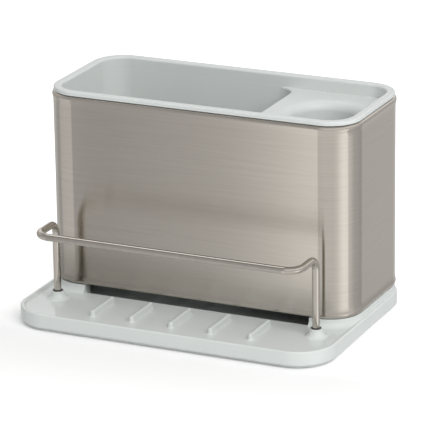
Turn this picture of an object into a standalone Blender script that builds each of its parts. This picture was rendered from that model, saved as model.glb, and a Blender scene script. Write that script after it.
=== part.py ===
"""A sink organizer: a plastic drip tray with a wire towel rail, and a brushed steel
sleeve that stands on it with a lift-out plastic caddy hanging inside.

Metres, +Z up, the front faces -Y. The origin is the middle of the tray's footprint
on the surface that it stands on.
"""

import math

import bmesh
import bpy

# Fits shared by all pieces
REST_GAP = 0.0003
OVERLAP = 0.001
FACE_STEP = 0.0001
CORNER_EASE = 0.0003
OVERRUN = 0.006
CORNER_STEPS = 8
ROUND_STEPS = 3
TURN_STEPS = 24
BORE_STEPS = 16
BEND_STEPS = 6

# Angle past which a face counts as bent, in radians
FLAT_LIMIT = 0.001

# Drip tray
TRAY_WIDTH = 0.250
TRAY_DEPTH = 0.170
TRAY_CORNER = 0.029
APRON_DEPTH = 0.0596
LIP_HEIGHT = 0.0134
LIP_WIDTH = 0.0030
LIP_ROUND = 0.0012
FLOOR_HEIGHT = 0.0113
FLOOR_THICKNESS = 0.0024
FLOOR_FILLET = 0.0024
SKIRT_WALL = 0.0024
SKIRT_TUCK = 0.0022
SKIRT_TUCK_HEIGHT = 0.0032
SKIRT_CLEARANCE = 0.0010

# Raised seat under the sleeve, cut open at the front as a drain mouth
SEAT_HEIGHT = 0.0061
SEAT_INSET = 0.0001
SEAT_WIDTH = 0.0090
SEAT_FILLET = 0.0052
SEAT_ROUND = 0.0006
SEAT_TRIM = 0.0010
UPSTAND_HEIGHT = 0.0032
UPSTAND_WIDTH = 0.0024
UPSTAND_CHAMFER = 0.0006
MOUTH_SIDE_SPACE = 0.0315
MOUTH_CORNER = 0.0022
SEAT_CORE_WALL = 0.0022

# Well under the sleeve, which the mouth leads into
WELL_DEPTH = 0.0062
WELL_WALL = 0.0022
WELL_LEDGE = 0.0006

# Ribs on the front floor
RIB_COUNT = 5
RIB_PITCH = 0.0316
RIB_HEIGHT = 0.0043
RIB_FOOT_WIDTH = 0.0044
RIB_TOP_WIDTH = 0.0022
RIB_NOSE_SLOPE = 0.0012
RIB_ROUND = 0.0008
RIB_FRONT_SPACE = 0.0158
RIB_BACK_SPACE = 0.0083

# Stiffening webs under the floor
WEB_THICKNESS = 0.0018
WEB_BOTTOM = 0.0042
WEB_COLUMNS = 3
WEB_PITCH_SHARE = 0.24

# Steel sleeve
SLEEVE_HEIGHT = 0.1453
SLEEVE_CORNER = 0.0248
SLEEVE_SIDE_MARGIN = 0.0025
SLEEVE_BACK_MARGIN = 0.0014
SHEET = 0.0008
BEAD_PROUD = 0.0007
BEAD_HEIGHT = 0.0088
BEAD_RADIUS = 0.0026
FLANGE_WIDTH = 0.0044

# Caddy
RIM_INSET = 0.0005
RIM_HEIGHT = 0.0035
RIM_ROUND = 0.0011
RIM_INNER_ROUND = 0.0018
RIM_CHAMFER = 0.0003
TUB_GAP = 0.0006
TUB_WALL = 0.0020
TUB_DRAFT = 0.0022
TUB_FLOOR_GAP = 0.0058
TUB_FLOOR = 0.0024
TUB_FLOOR_ROUND = 0.0040
CELL_CORNER = 0.0155
SHELF_LENGTH = 0.0840
DIVIDER_THICKNESS = 0.0022
SHELF_EDGE_ROUND = 0.0014
SHELF_DROP = 0.0095
SHELF_THICKNESS = 0.0024
CUP_END_SPACE = 0.0415
CUP_RADIUS = 0.0245
CUP_LIP = 0.0075
CUP_DEPTH = 0.0950
CUP_WALL = 0.0020
CUP_DRAFT = 0.0012
CUP_FLOOR_ROUND = 0.0030
SLOT_COLUMNS = 5
SLOT_ROWS = 2
SLOT_LENGTH_SHARE = 0.20
SLOT_WIDTH = 0.0036
SLOT_PITCH_X_SHARE = 0.15
SLOT_PITCH_Y_SHARE = 0.36
HOLE_COUNT = 6
HOLE_RADIUS = 0.0022
HOLE_CIRCLE = 0.0130

# Wire rail, its bosses and bushes
WIRE = 0.0055
RAIL_SIDE_SPACE = 0.0208
RAIL_HEIGHT = 0.0709
RAIL_LEG_SPACE = 0.0178
RAIL_FRONT_SPACE = 0.0087
LEG_BEND = 0.0090
BAR_BEND = 0.0112
LEG_DEPTH = 0.0096
WIRE_ROUNDING = 4
BUSH_WALL = 0.0004
BUSH_HEAD = 0.0003
BUSH_HEAD_PROUD = 0.0004
BUSH_DEPTH = 0.0105
BOSS_WALL = 0.0010
BOSS_HEIGHT = 0.0062
BOSS_FLARE = 0.0058
BOSS_ROUND = 0.0004
SOCKET_WALL = 0.0018
SOCKET_FLOOR = 0.0020

# Feet
FOOT_RADIUS = 0.0058
FOOT_HEIGHT = 0.0032
FOOT_ROUND = 0.0006
FOOT_INSET_X = 0.0230
FOOT_INSET_Y = 0.0210
POST_WALL = 0.0016
POST_BOTTOM = 0.0018
POST_SOCKET = 0.0017

# Colour, roughness and metallic value of each material
TRAY_FINISH = ((0.63, 0.66, 0.65), 0.28, 0.0)
CADDY_FINISH = ((0.66, 0.68, 0.67), 0.38, 0.0)
STEEL_FINISH = ((0.52, 0.48, 0.43), 0.30, 1.0)
WIRE_FINISH = ((0.60, 0.56, 0.50), 0.22, 1.0)
BUSH_FINISH = ((0.03, 0.03, 0.03), 0.60, 0.0)
FOOT_FINISH = ((0.30, 0.31, 0.31), 0.70, 0.0)

# Sizes and places that follow from the sizes above
TRAY_FRONT = -TRAY_DEPTH / 2
SLEEVE_WIDTH = TRAY_WIDTH - 2 * SLEEVE_SIDE_MARGIN
SLEEVE_DEPTH = TRAY_DEPTH - APRON_DEPTH - SLEEVE_BACK_MARGIN
SLEEVE_FRONT = TRAY_FRONT + APRON_DEPTH
SLEEVE_Y = SLEEVE_FRONT + SLEEVE_DEPTH / 2
MOUTH_HALF_WIDTH = SLEEVE_WIDTH / 2 - MOUTH_SIDE_SPACE
RIB_FRONT = TRAY_FRONT + RIB_FRONT_SPACE
RIB_LENGTH = SLEEVE_FRONT - RIB_BACK_SPACE - RIB_FRONT
SEAT_TOP = FLOOR_HEIGHT + SEAT_HEIGHT
SLEEVE_BOTTOM = SEAT_TOP + REST_GAP
SLEEVE_TOP = SLEEVE_BOTTOM + SLEEVE_HEIGHT
FLOOR_MIDDLE = FLOOR_HEIGHT - FLOOR_THICKNESS / 2
FLOOR_UNDERSIDE = FLOOR_HEIGHT - FLOOR_THICKNESS
WELL_FLOOR = FLOOR_HEIGHT - WELL_DEPTH
WELL_UNDERSIDE = WELL_FLOOR - FLOOR_THICKNESS
WELL_FRONT = SLEEVE_FRONT + WELL_LEDGE
RIM_BOTTOM = SLEEVE_TOP + REST_GAP
RIM_TOP = SLEEVE_TOP + RIM_HEIGHT
TUB_BOTTOM = SLEEVE_BOTTOM + TUB_FLOOR_GAP
SHELF_TOP = RIM_TOP - SHELF_DROP
TUB_OUTER_INSET = FLANGE_WIDTH + TUB_GAP
TUB_HALF_WIDTH = SLEEVE_WIDTH / 2 - TUB_OUTER_INSET
TUB_HALF_DEPTH = SLEEVE_DEPTH / 2 - TUB_OUTER_INSET
TUB_CORNER = SLEEVE_CORNER - TUB_OUTER_INSET
DIVIDER_X = SLEEVE_WIDTH / 2 - SHELF_LENGTH
CUP_X = SLEEVE_WIDTH / 2 - CUP_END_SPACE
TUB_LENGTH = TUB_HALF_WIDTH + DIVIDER_X
RAIL_HALF_WIDTH = TRAY_WIDTH / 2 - RAIL_SIDE_SPACE
LEG_Y = SLEEVE_FRONT - RAIL_LEG_SPACE
BAR_Y = TRAY_FRONT + RAIL_FRONT_SPACE
BUSH_BORE = WIRE / 2 + REST_GAP
BUSH_RADIUS = BUSH_BORE + BUSH_WALL
SOCKET_RADIUS = BUSH_RADIUS + REST_GAP
BOSS_RADIUS = SOCKET_RADIUS + BOSS_WALL
BOSS_TOP = FLOOR_HEIGHT + BOSS_HEIGHT
BUSH_TOP = BOSS_TOP + REST_GAP + BUSH_HEAD
BUSH_BOTTOM = BUSH_TOP - BUSH_DEPTH
SOCKET_BOTTOM = BUSH_BOTTOM - REST_GAP
LEG_BOTTOM = BUSH_TOP - LEG_DEPTH

PARTS = "sink_organizer"
CUTTERS = "cutters"


def clear_scene():
    """Removes every object and makes the two collections."""
    for obj in list(bpy.data.objects):
        bpy.data.objects.remove(obj)
    for name in (PARTS, CUTTERS):
        bpy.context.scene.collection.children.link(bpy.data.collections.new(name))


def material(name, finish):
    """A plain Principled material from a colour, a roughness and a metallic value."""
    color, roughness, metallic = finish
    made = bpy.data.materials.new(name)
    made.use_nodes = True
    shader = made.node_tree.nodes["Principled BSDF"]
    shader.inputs["Base Color"].default_value = (*color, 1.0)
    shader.inputs["Roughness"].default_value = roughness
    shader.inputs["Metallic"].default_value = metallic
    made.diffuse_color = (*color, 1.0)
    return made


def arc(center, radius, start, end, steps):
    """Points on an arc from one angle to another, in degrees."""
    points = []
    for step in range(steps + 1):
        angle = math.radians(start + (end - start) * step / steps)
        points.append((center[0] + radius * math.cos(angle), center[1] + radius * math.sin(angle)))
    return points


def rounded_box(left, right, front, back, left_radius, right_radius, steps=CORNER_STEPS):
    """The corners of a rectangle as arcs, anticlockwise from the front right one."""
    points = arc((right - right_radius, front + right_radius), right_radius, -90, 0, steps)
    points += arc((right - right_radius, back - right_radius), right_radius, 0, 90, steps)
    points += arc((left + left_radius, back - left_radius), left_radius, 90, 180, steps)
    points += arc((left + left_radius, front + left_radius), left_radius, 180, 270, steps)
    return points


def rounded_rectangle(half_width, half_depth, radius, center=(0.0, 0.0), steps=CORNER_STEPS):
    """A rectangle about a centre, with four corners alike."""
    return rounded_box(center[0] - half_width, center[0] + half_width, center[1] - half_depth,
                       center[1] + half_depth, radius, radius, steps)


def link(name, mesh, collection):
    """Puts a mesh in a collection as an object, hidden from the build if it is a cutter."""
    obj = bpy.data.objects.new(name, mesh)
    bpy.data.collections[collection].objects.link(obj)
    if collection == CUTTERS:
        obj.hide_render = True
        obj.display_type = "WIRE"
    return obj


def curve_object(name, points, flat=True, closed=True):
    """A curve through the points, in the cutters' collection until it becomes a mesh."""
    data = bpy.data.curves.new(name, "CURVE")
    data.dimensions = "2D" if flat else "3D"
    spline = data.splines.new("POLY")
    spline.points.add(len(points) - 1)
    for place, point in zip(spline.points, points):
        place.co = (point[0], point[1], 0.0 if flat else point[2], 1.0)
    spline.use_cyclic_u = closed
    return link(name, data, CUTTERS)


def curve_to_mesh(curve, name, collection):
    """Turns a curve into a closed mesh object of the same place, and removes the curve."""
    graph = bpy.context.evaluated_depsgraph_get()
    mesh = bpy.data.meshes.new_from_object(curve.evaluated_get(graph))
    mesh.name = name
    shaped = bmesh.new()
    shaped.from_mesh(mesh)
    bmesh.ops.remove_doubles(shaped, verts=shaped.verts, dist=FACE_STEP / 10)
    bmesh.ops.dissolve_limit(shaped, angle_limit=FLAT_LIMIT, verts=shaped.verts, edges=shaped.edges)
    bmesh.ops.recalc_face_normals(shaped, faces=shaped.faces)
    shaped.to_mesh(mesh)
    shaped.free()
    obj = link(name, mesh, collection)
    obj.matrix_world = curve.matrix_world
    bpy.data.objects.remove(curve)
    return obj


def prism(name, outline, bottom, top, collection=CUTTERS):
    """A flat outline given a height."""
    curve = curve_object(name + "_outline", outline)
    curve.data.fill_mode = "BOTH"
    curve.data.extrude = (top - bottom) / 2
    curve.location.z = (top + bottom) / 2
    bpy.context.view_layer.update()
    return curve_to_mesh(curve, name, collection)


def swept_ring(name, outline, section, collection=CUTTERS):
    """A closed section, in distance outward and height, carried round a closed outline."""
    profile = curve_object(name + "_section", [(-outward, height) for outward, height in section])
    path = curve_object(name + "_path", outline)
    path.data.fill_mode = "NONE"
    path.data.bevel_mode = "OBJECT"
    path.data.bevel_object = profile
    ring = curve_to_mesh(path, name, collection)
    bpy.data.objects.remove(profile)
    return ring


def turned(name, profile, place, steps=TURN_STEPS, collection=CUTTERS, hollow=False):
    """A profile of radius and height turned about Z, its outer side from the top down."""
    mesh = bpy.data.meshes.new(name)
    points = [(radius, 0.0, height) for radius, height in profile]
    edges = [(index, index + 1) for index in range(len(points) - 1)]
    if hollow:
        edges.append((len(points) - 1, 0))
    mesh.from_pydata(points, edges, [])
    obj = link(name, mesh, collection)
    obj.location = (place[0], place[1], 0.0)
    screw = obj.modifiers.new("Turn", "SCREW")
    screw.steps = steps
    screw.render_steps = steps
    screw.use_merge_vertices = True
    screw.merge_threshold = FACE_STEP / 10
    return obj


def round_cutter(name, profile, place):
    """A turned cutter set half a step round, so that none of its corners lies on a seam of what it cuts."""
    cutter = turned(name, profile, place, BORE_STEPS)
    cutter.rotation_euler.z = math.pi / BORE_STEPS
    return cutter


def drafted_prism(name, upper, lower, bottom, top):
    """A prism whose lower end follows a smaller outline, as a moulding's draft makes it."""
    obj = prism(name, upper, bottom, top)
    for corner in obj.data.vertices:
        if corner.co.z < 0.0:
            x, y = corner.co.xy
            nearest = min(range(len(upper)), key=lambda place: math.dist(upper[place], (x, y)))
            corner.co.xy = lower[nearest]
    return obj


def round_lower_edge(obj, radius):
    """Rounds the edge round the bottom face of a prism, and keeps every face flat."""
    shaped = bmesh.new()
    shaped.from_mesh(obj.data)
    bottom = min(shaped.faces, key=lambda face: face.normal.z)
    bmesh.ops.bevel(shaped, geom=list(bottom.edges), offset=radius, segments=ROUND_STEPS, profile=0.5,
                    affect="EDGES", material=-1, clamp_overlap=True)
    bmesh.ops.connect_verts_nonplanar(shaped, angle_limit=FLAT_LIMIT, faces=shaped.faces)
    shaped.to_mesh(obj.data)
    shaped.free()


def combine(obj, other, operation):
    """Adds an exact Boolean of another closed object."""
    step = obj.modifiers.new(operation.title() + " " + other.name, "BOOLEAN")
    step.operation = operation
    step.solver = "EXACT"
    step.object = other


def shade(obj, made, angle=35.0):
    """Gives a piece its material and smooth shading with sharp corners kept."""
    obj.data.materials.clear()
    obj.data.materials.append(made)
    obj.data.shade_smooth()
    obj.data.set_sharp_from_angle(angle=math.radians(angle))


def tray_outline(inset, ease=0.0, steps=CORNER_STEPS):
    """The tray's outline, a distance in from its edge, with corners eased by a little."""
    radius = TRAY_CORNER - inset + ease
    return rounded_rectangle(TRAY_WIDTH / 2 - inset, TRAY_DEPTH / 2 - inset, radius, steps=steps)


def tray_wall():
    """The tray's lip, outer skirt and tucked-in lower edge, carried round its outline."""
    section = [(0.0, SKIRT_TUCK_HEIGHT)]
    section += arc((-LIP_ROUND, LIP_HEIGHT - LIP_ROUND), LIP_ROUND, 0, 90, ROUND_STEPS)
    section += arc((LIP_ROUND - LIP_WIDTH, LIP_HEIGHT - LIP_ROUND), LIP_ROUND, 90, 160, ROUND_STEPS)
    toe = LIP_WIDTH + FLOOR_FILLET
    section += arc((-toe, FLOOR_HEIGHT + FLOOR_FILLET - FACE_STEP), FLOOR_FILLET, -50, -90, ROUND_STEPS)
    section += [(-toe, FLOOR_MIDDLE),
                (-SKIRT_TUCK - SKIRT_WALL, FLOOR_MIDDLE),
                (-SKIRT_TUCK - SKIRT_WALL, SKIRT_CLEARANCE),
                (-SKIRT_TUCK, SKIRT_CLEARANCE),
                (-SKIRT_TUCK, SKIRT_TUCK_HEIGHT)]
    return swept_ring("drip_tray", tray_outline(0.0), section, PARTS)


def tray_floor():
    """The tray's floor plate, its edge buried in the wall."""
    outline = tray_outline(LIP_WIDTH + LIP_ROUND / 2, CORNER_EASE, CORNER_STEPS + 1)
    return prism("tray_floor", outline, FLOOR_UNDERSIDE, FLOOR_HEIGHT)


def seat_outline():
    """The outline of the seat, just inside the sleeve's own."""
    return rounded_rectangle(SLEEVE_WIDTH / 2 - SEAT_INSET, SLEEVE_DEPTH / 2 - SEAT_INSET,
                             SLEEVE_CORNER - SEAT_INSET, (0.0, SLEEVE_Y))


def mouth_cutter(name, half_width, extra):
    """The block that opens the front of the seat between its two corners."""
    front = SLEEVE_FRONT - SEAT_FILLET - extra
    back = SLEEVE_FRONT + SEAT_WIDTH + extra
    outline = rounded_box(-half_width, half_width, front, back, MOUTH_CORNER, MOUTH_CORNER, ROUND_STEPS)
    return prism(name, outline, -OVERRUN, SEAT_TOP + UPSTAND_HEIGHT + OVERRUN)


def sleeve_seat():
    """The raised ring that the sleeve stands on, with a fillet at its foot and a low upstand inside."""
    toe = FLOOR_HEIGHT - FACE_STEP
    section = [(SEAT_FILLET, FLOOR_MIDDLE)]
    section += arc((SEAT_FILLET, toe + SEAT_FILLET), SEAT_FILLET, 270, 180, CORNER_STEPS // 2)
    section += arc((-SEAT_ROUND, SEAT_TOP - SEAT_ROUND), SEAT_ROUND, 0, 90, ROUND_STEPS)
    inner = -SEAT_WIDTH
    outer = inner + UPSTAND_WIDTH
    peak = SEAT_TOP + UPSTAND_HEIGHT
    section += [(outer, SEAT_TOP), (outer, peak - UPSTAND_CHAMFER), (outer - UPSTAND_CHAMFER, peak),
                (inner, peak), (inner, FLOOR_MIDDLE)]
    ring = swept_ring("sleeve_seat", seat_outline(), section)
    trim = tray_outline(SEAT_TRIM, CORNER_EASE, CORNER_STEPS + 1)
    combine(ring, prism("seat_trim", trim, 0.0, peak + OVERRUN), "INTERSECT")
    combine(ring, mouth_cutter("mouth_cut", MOUTH_HALF_WIDTH, OVERRUN), "DIFFERENCE")
    return ring


def seat_core():
    """The channel that cores the seat from below, so that its walls stay even."""
    outer = -SEAT_CORE_WALL
    inner = SEAT_CORE_WALL - SEAT_WIDTH
    low = FLOOR_UNDERSIDE - OVERLAP
    high = SEAT_TOP - FLOOR_THICKNESS
    section = [(outer, low), (outer, high), (inner, high), (inner, low)]
    channel = swept_ring("seat_core", seat_outline(), section)
    combine(channel, mouth_cutter("core_stop", MOUTH_HALF_WIDTH + SEAT_CORE_WALL, OVERRUN), "DIFFERENCE")
    return channel


def well_outline(inset):
    """The well's outline, a distance in from the seat's own, with corners eased by a little."""
    inset += SEAT_INSET
    return rounded_rectangle(SLEEVE_WIDTH / 2 - inset, SLEEVE_DEPTH / 2 - inset,
                             SLEEVE_CORNER - inset + CORNER_EASE, (0.0, SLEEVE_Y), CORNER_STEPS + 1)


def well_throat(name, half_width, front, bottom, top):
    """The part of the well that reaches forward to the mouth."""
    back = SLEEVE_FRONT + SEAT_WIDTH + OVERRUN
    outline = rounded_box(-half_width, half_width, front, back, MOUTH_CORNER, MOUTH_CORNER, ROUND_STEPS)
    return prism(name, outline, bottom, top)


def well_outside():
    """The closed outside of the well, which hangs under the floor."""
    outline = well_outline(SEAT_WIDTH - WELL_WALL + FACE_STEP)
    block = prism("well_outside", outline, WELL_UNDERSIDE, FLOOR_MIDDLE)
    half_width = MOUTH_HALF_WIDTH + WELL_WALL - FACE_STEP
    throat = well_throat("throat_outside", half_width, WELL_FRONT - WELL_WALL,
                         WELL_UNDERSIDE + FACE_STEP, FLOOR_MIDDLE - FACE_STEP)
    combine(block, throat, "UNION")
    return block


def well_inside():
    """The hollow of the well, open to the floor above and to the mouth."""
    top = FLOOR_HEIGHT + FACE_STEP
    block = prism("well_inside", well_outline(SEAT_WIDTH + FACE_STEP), WELL_FLOOR, top)
    throat = well_throat("throat_inside", MOUTH_HALF_WIDTH - FACE_STEP, WELL_FRONT,
                         WELL_FLOOR + FACE_STEP, top + FACE_STEP)
    combine(block, throat, "UNION")
    return block


def tray_rib(index):
    """One drafted rib with rounded ends, to keep a sponge or soap off the wet floor."""
    foot = FLOOR_HEIGHT - OVERLAP
    height = RIB_HEIGHT + OVERLAP
    bpy.ops.mesh.primitive_cube_add(size=1.0)
    rib = bpy.context.object
    rib.name = "rib_" + str(index)
    for owner in list(rib.users_collection):
        owner.objects.unlink(rib)
    bpy.data.collections[CUTTERS].objects.link(rib)
    rib.hide_render = True
    rib.display_type = "WIRE"
    for corner in rib.data.vertices:
        upper = corner.co.z > 0
        width = RIB_TOP_WIDTH if upper else RIB_FOOT_WIDTH
        length = RIB_LENGTH - 2 * RIB_NOSE_SLOPE if upper else RIB_LENGTH
        corner.co = (corner.co.x * width, corner.co.y * length, corner.co.z * height)
    rounding = rib.modifiers.new("Round", "BEVEL")
    rounding.width = RIB_ROUND
    rounding.segments = ROUND_STEPS
    rounding.limit_method = "ANGLE"
    x = (index - (RIB_COUNT - 1) / 2) * RIB_PITCH
    rib.location = (x, RIB_FRONT + RIB_LENGTH / 2, foot + height / 2)
    return rib


def rail_boss(side, name):
    """A flared boss with a closed socket under the floor for one leg of the rail."""
    profile = [(0.0, BOSS_TOP)]
    profile += [(BOSS_RADIUS - BOSS_ROUND, BOSS_TOP), (BOSS_RADIUS, BOSS_TOP - BOSS_ROUND)]
    toe = BOSS_RADIUS + BOSS_FLARE
    profile += arc((toe, FLOOR_HEIGHT - FACE_STEP + BOSS_FLARE), BOSS_FLARE, 180, 270, CORNER_STEPS // 2)
    outside = SOCKET_RADIUS + SOCKET_WALL
    end = SOCKET_BOTTOM - SOCKET_FLOOR
    profile += [(toe, FLOOR_MIDDLE), (outside, FLOOR_MIDDLE), (outside, end), (0.0, end)]
    return turned(name, profile, (side * RAIL_HALF_WIDTH, LEG_Y))


def socket_cutter(side, name):
    """The hole in a boss that its bush sits in."""
    profile = [(0.0, BOSS_TOP + OVERRUN), (SOCKET_RADIUS, BOSS_TOP + OVERRUN), (SOCKET_RADIUS, SOCKET_BOTTOM),
               (0.0, SOCKET_BOTTOM)]
    return round_cutter(name, profile, (side * RAIL_HALF_WIDTH, LEG_Y))


def foot_places():
    """The four places of the feet, with their names."""
    x = TRAY_WIDTH / 2 - FOOT_INSET_X
    y = TRAY_DEPTH / 2 - FOOT_INSET_Y
    return {"front_left": (-x, -y), "front_right": (x, -y), "back_left": (-x, y), "back_right": (x, y)}


def foot_post(name, place):
    """A post that carries one foot, under the front floor or under the well."""
    radius = FOOT_RADIUS + REST_GAP + POST_WALL
    top = FLOOR_MIDDLE if place[1] < WELL_FRONT else WELL_UNDERSIDE + FLOOR_THICKNESS / 2
    profile = [(0.0, top), (radius, top), (radius, POST_BOTTOM), (0.0, POST_BOTTOM)]
    return turned("post_" + name, profile, place, BORE_STEPS)


def foot_socket(name, place):
    """The recess in a post that its foot is pressed into."""
    radius = FOOT_RADIUS + REST_GAP
    top = POST_BOTTOM + POST_SOCKET
    profile = [(0.0, top), (radius, top), (radius, -OVERRUN), (0.0, -OVERRUN)]
    return round_cutter("post_socket_" + name, profile, place)


def floor_web(name, left, right, front, back):
    """One stiffening web under the floor."""
    return prism(name, [(left, front), (right, front), (right, back), (left, back)], WEB_BOTTOM, FLOOR_MIDDLE)


def floor_webs():
    """Webs under the front floor, from the skirt to the well and one from side to side."""
    skirt = SKIRT_TUCK + SKIRT_WALL - OVERLAP
    end_x = TRAY_WIDTH / 2 - skirt
    front = skirt - TRAY_DEPTH / 2
    back = WELL_FRONT - WELL_WALL / 2
    cross = SLEEVE_FRONT - SEAT_WIDTH
    webs = [floor_web("web_cross", -end_x, end_x, cross, cross + WEB_THICKNESS)]
    for index in range(WEB_COLUMNS):
        left = (index - (WEB_COLUMNS - 1) / 2) * WEB_PITCH_SHARE * TRAY_WIDTH - WEB_THICKNESS / 2
        webs.append(floor_web("web_" + str(index), left, left + WEB_THICKNESS, front, back))
    return webs


def drip_tray(made):
    """The tray: wall, floor, seat, well, ribs, bosses and foot posts in one moulding."""
    tray = tray_wall()
    for addition in (tray_floor(), sleeve_seat(), well_outside()):
        combine(tray, addition, "UNION")
    for index in range(RIB_COUNT):
        combine(tray, tray_rib(index), "UNION")
    for web in floor_webs():
        combine(tray, web, "UNION")
    for name, place in foot_places().items():
        combine(tray, foot_post(name, place), "UNION")
    for side, name in ((-1, "left"), (1, "right")):
        combine(tray, rail_boss(side, "boss_" + name), "UNION")
    for hollow in (seat_core(), well_inside()):
        combine(tray, hollow, "DIFFERENCE")
    for name, place in foot_places().items():
        combine(tray, foot_socket(name, place), "DIFFERENCE")
    for side, name in ((-1, "left"), (1, "right")):
        combine(tray, socket_cutter(side, "socket_" + name), "DIFFERENCE")
    shade(tray, made)


def tray_feet(made):
    """Four round pads pressed into the posts."""
    for name, place in foot_places().items():
        profile = [(0.0, FOOT_HEIGHT), (FOOT_RADIUS, FOOT_HEIGHT), (FOOT_RADIUS, FOOT_ROUND),
                   (FOOT_RADIUS - FOOT_ROUND, 0.0), (0.0, 0.0)]
        shade(turned("foot_" + name, profile, place, BORE_STEPS, PARTS), made)


def rail_bushes(made):
    """The headed bushes that line the bosses and grip the rail's legs."""
    for side, name in ((-1, "left"), (1, "right")):
        head = BUSH_RADIUS + BUSH_HEAD_PROUD
        under = BUSH_TOP - BUSH_HEAD
        profile = [(BUSH_BORE, BUSH_BOTTOM), (BUSH_BORE, BUSH_TOP), (head, BUSH_TOP), (head, under),
                   (BUSH_RADIUS, under), (BUSH_RADIUS, BUSH_BOTTOM)]
        bush = turned("rail_bush_" + name, profile, (side * RAIL_HALF_WIDTH, LEG_Y), BORE_STEPS, PARTS, True)
        shade(bush, made)


def rail_path():
    """The centre line of the wire: leg up, bend forward, bend sideways, and the same mirrored."""
    half = [(RAIL_HALF_WIDTH, LEG_Y, LEG_BOTTOM)]
    for y, z in arc((LEG_Y - LEG_BEND, RAIL_HEIGHT - LEG_BEND), LEG_BEND, 0, 90, BEND_STEPS):
        half.append((RAIL_HALF_WIDTH, y, z))
    for x, y in arc((RAIL_HALF_WIDTH - BAR_BEND, BAR_Y + BAR_BEND), BAR_BEND, 0, -90, BEND_STEPS):
        half.append((x, y, RAIL_HEIGHT))
    return half + [(-x, y, z) for x, y, z in reversed(half)]


def rail(made):
    """The towel rail, one bent wire."""
    curve = curve_object("rail_line", rail_path(), flat=False, closed=False)
    curve.data.bevel_depth = WIRE / 2
    curve.data.bevel_resolution = WIRE_ROUNDING
    curve.data.use_fill_caps = True
    shade(curve_to_mesh(curve, "rail", PARTS), made)


def sheet_side(low, high, inset):
    """One side of the sheet's section: up from the lower turned-in edge to the upper one."""
    radius = BEAD_RADIUS - inset
    center = BEAD_PROUD - BEAD_RADIUS
    bead_end = BEAD_RADIUS + BEAD_PROUD + BEAD_RADIUS / 2
    points = [(-FLANGE_WIDTH, low + inset)]
    points += arc((center, low + BEAD_RADIUS), radius, -90, 0, ROUND_STEPS + 1)
    points += [(BEAD_PROUD / 2 - inset, low + bead_end), (-inset, low + BEAD_HEIGHT)]
    points += [(-inset, high - BEAD_HEIGHT), (BEAD_PROUD / 2 - inset, high - bead_end)]
    points += arc((center, high - BEAD_RADIUS), radius, 0, 90, ROUND_STEPS + 1)
    return points + [(-FLANGE_WIDTH, high - inset)]


def sleeve_section():
    """The sleeve's sheet in section: turned-in edges, a slight bead near each, and a flat wall."""
    outer = sheet_side(SLEEVE_BOTTOM, SLEEVE_TOP, 0.0)
    inner = sheet_side(SLEEVE_BOTTOM, SLEEVE_TOP, SHEET)
    return outer + inner[::-1]


def sleeve(made):
    """The steel sleeve, open at both ends."""
    outline = rounded_rectangle(SLEEVE_WIDTH / 2, SLEEVE_DEPTH / 2, SLEEVE_CORNER, (0.0, SLEEVE_Y))
    shade(swept_ring("sleeve", outline, sleeve_section(), PARTS), made)


def wall_outline(inset, ease=0.0, steps=CORNER_STEPS):
    """The caddy's wall line, a distance in from its outer face, with corners eased by a little."""
    return rounded_rectangle(TUB_HALF_WIDTH - inset, TUB_HALF_DEPTH - inset, TUB_CORNER - inset + ease,
                             (0.0, SLEEVE_Y), steps)


def caddy_rim():
    """The flat rim that rests on the sleeve's turned-in edge, with the short wall that hangs from it."""
    outer = TUB_OUTER_INSET - RIM_INSET
    buried = SHELF_TOP - SHELF_THICKNESS / 2
    section = [(0.0, buried), (0.0, RIM_BOTTOM), (outer - RIM_CHAMFER, RIM_BOTTOM),
               (outer, RIM_BOTTOM + RIM_CHAMFER)]
    section += arc((outer - RIM_ROUND, RIM_TOP - RIM_ROUND), RIM_ROUND, 0, 90, ROUND_STEPS)
    middle = (RIM_INNER_ROUND - TUB_WALL, RIM_TOP - RIM_INNER_ROUND)
    section += arc(middle, RIM_INNER_ROUND, 90, 180, ROUND_STEPS + 1)
    section += [(-TUB_WALL, buried)]
    return swept_ring("caddy", wall_outline(0.0), section, PARTS)


def cell_outline(inset, divider_inset, ease=0.0, steps=CORNER_STEPS):
    """The deep compartment's outline: the wall line, ended by the divider with its own corners."""
    right = DIVIDER_X + DIVIDER_THICKNESS - divider_inset
    left = -TUB_HALF_WIDTH + inset
    half_depth = TUB_HALF_DEPTH - inset
    front, back = SLEEVE_Y - half_depth, SLEEVE_Y + half_depth
    left_radius = TUB_CORNER - inset + ease
    right_radius = CELL_CORNER + DIVIDER_THICKNESS - divider_inset + ease
    return rounded_box(left, right, front, back, left_radius, right_radius, steps)


def shelf_plate():
    """The level plate under the rim, its edge buried in the short wall."""
    outline = wall_outline(TUB_WALL / 2, OVERLAP, CORNER_STEPS + 1)
    return prism("shelf_plate", outline, SHELF_TOP - SHELF_THICKNESS, SHELF_TOP)


def shelf_edge_round():
    """The cutter that rounds the shelf where it drops into the deep compartment."""
    start = SHELF_EDGE_ROUND - FACE_STEP
    section = [(-OVERLAP, SHELF_TOP - SHELF_EDGE_ROUND)]
    section += arc((start, SHELF_TOP - SHELF_EDGE_ROUND), SHELF_EDGE_ROUND, 180, 90, ROUND_STEPS)
    section += [(start, SHELF_TOP + OVERLAP), (-OVERLAP, SHELF_TOP + OVERLAP)]
    outline = cell_outline(TUB_WALL + FACE_STEP, DIVIDER_THICKNESS, -CORNER_EASE, CORNER_STEPS + 1)
    ring = swept_ring("shelf_edge_round", outline, section)
    keep = prism("shelf_edge_keep", wall_outline(TUB_WALL + CORNER_EASE, OVERLAP), TUB_BOTTOM, RIM_TOP)
    combine(ring, keep, "INTERSECT")
    return ring


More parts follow.
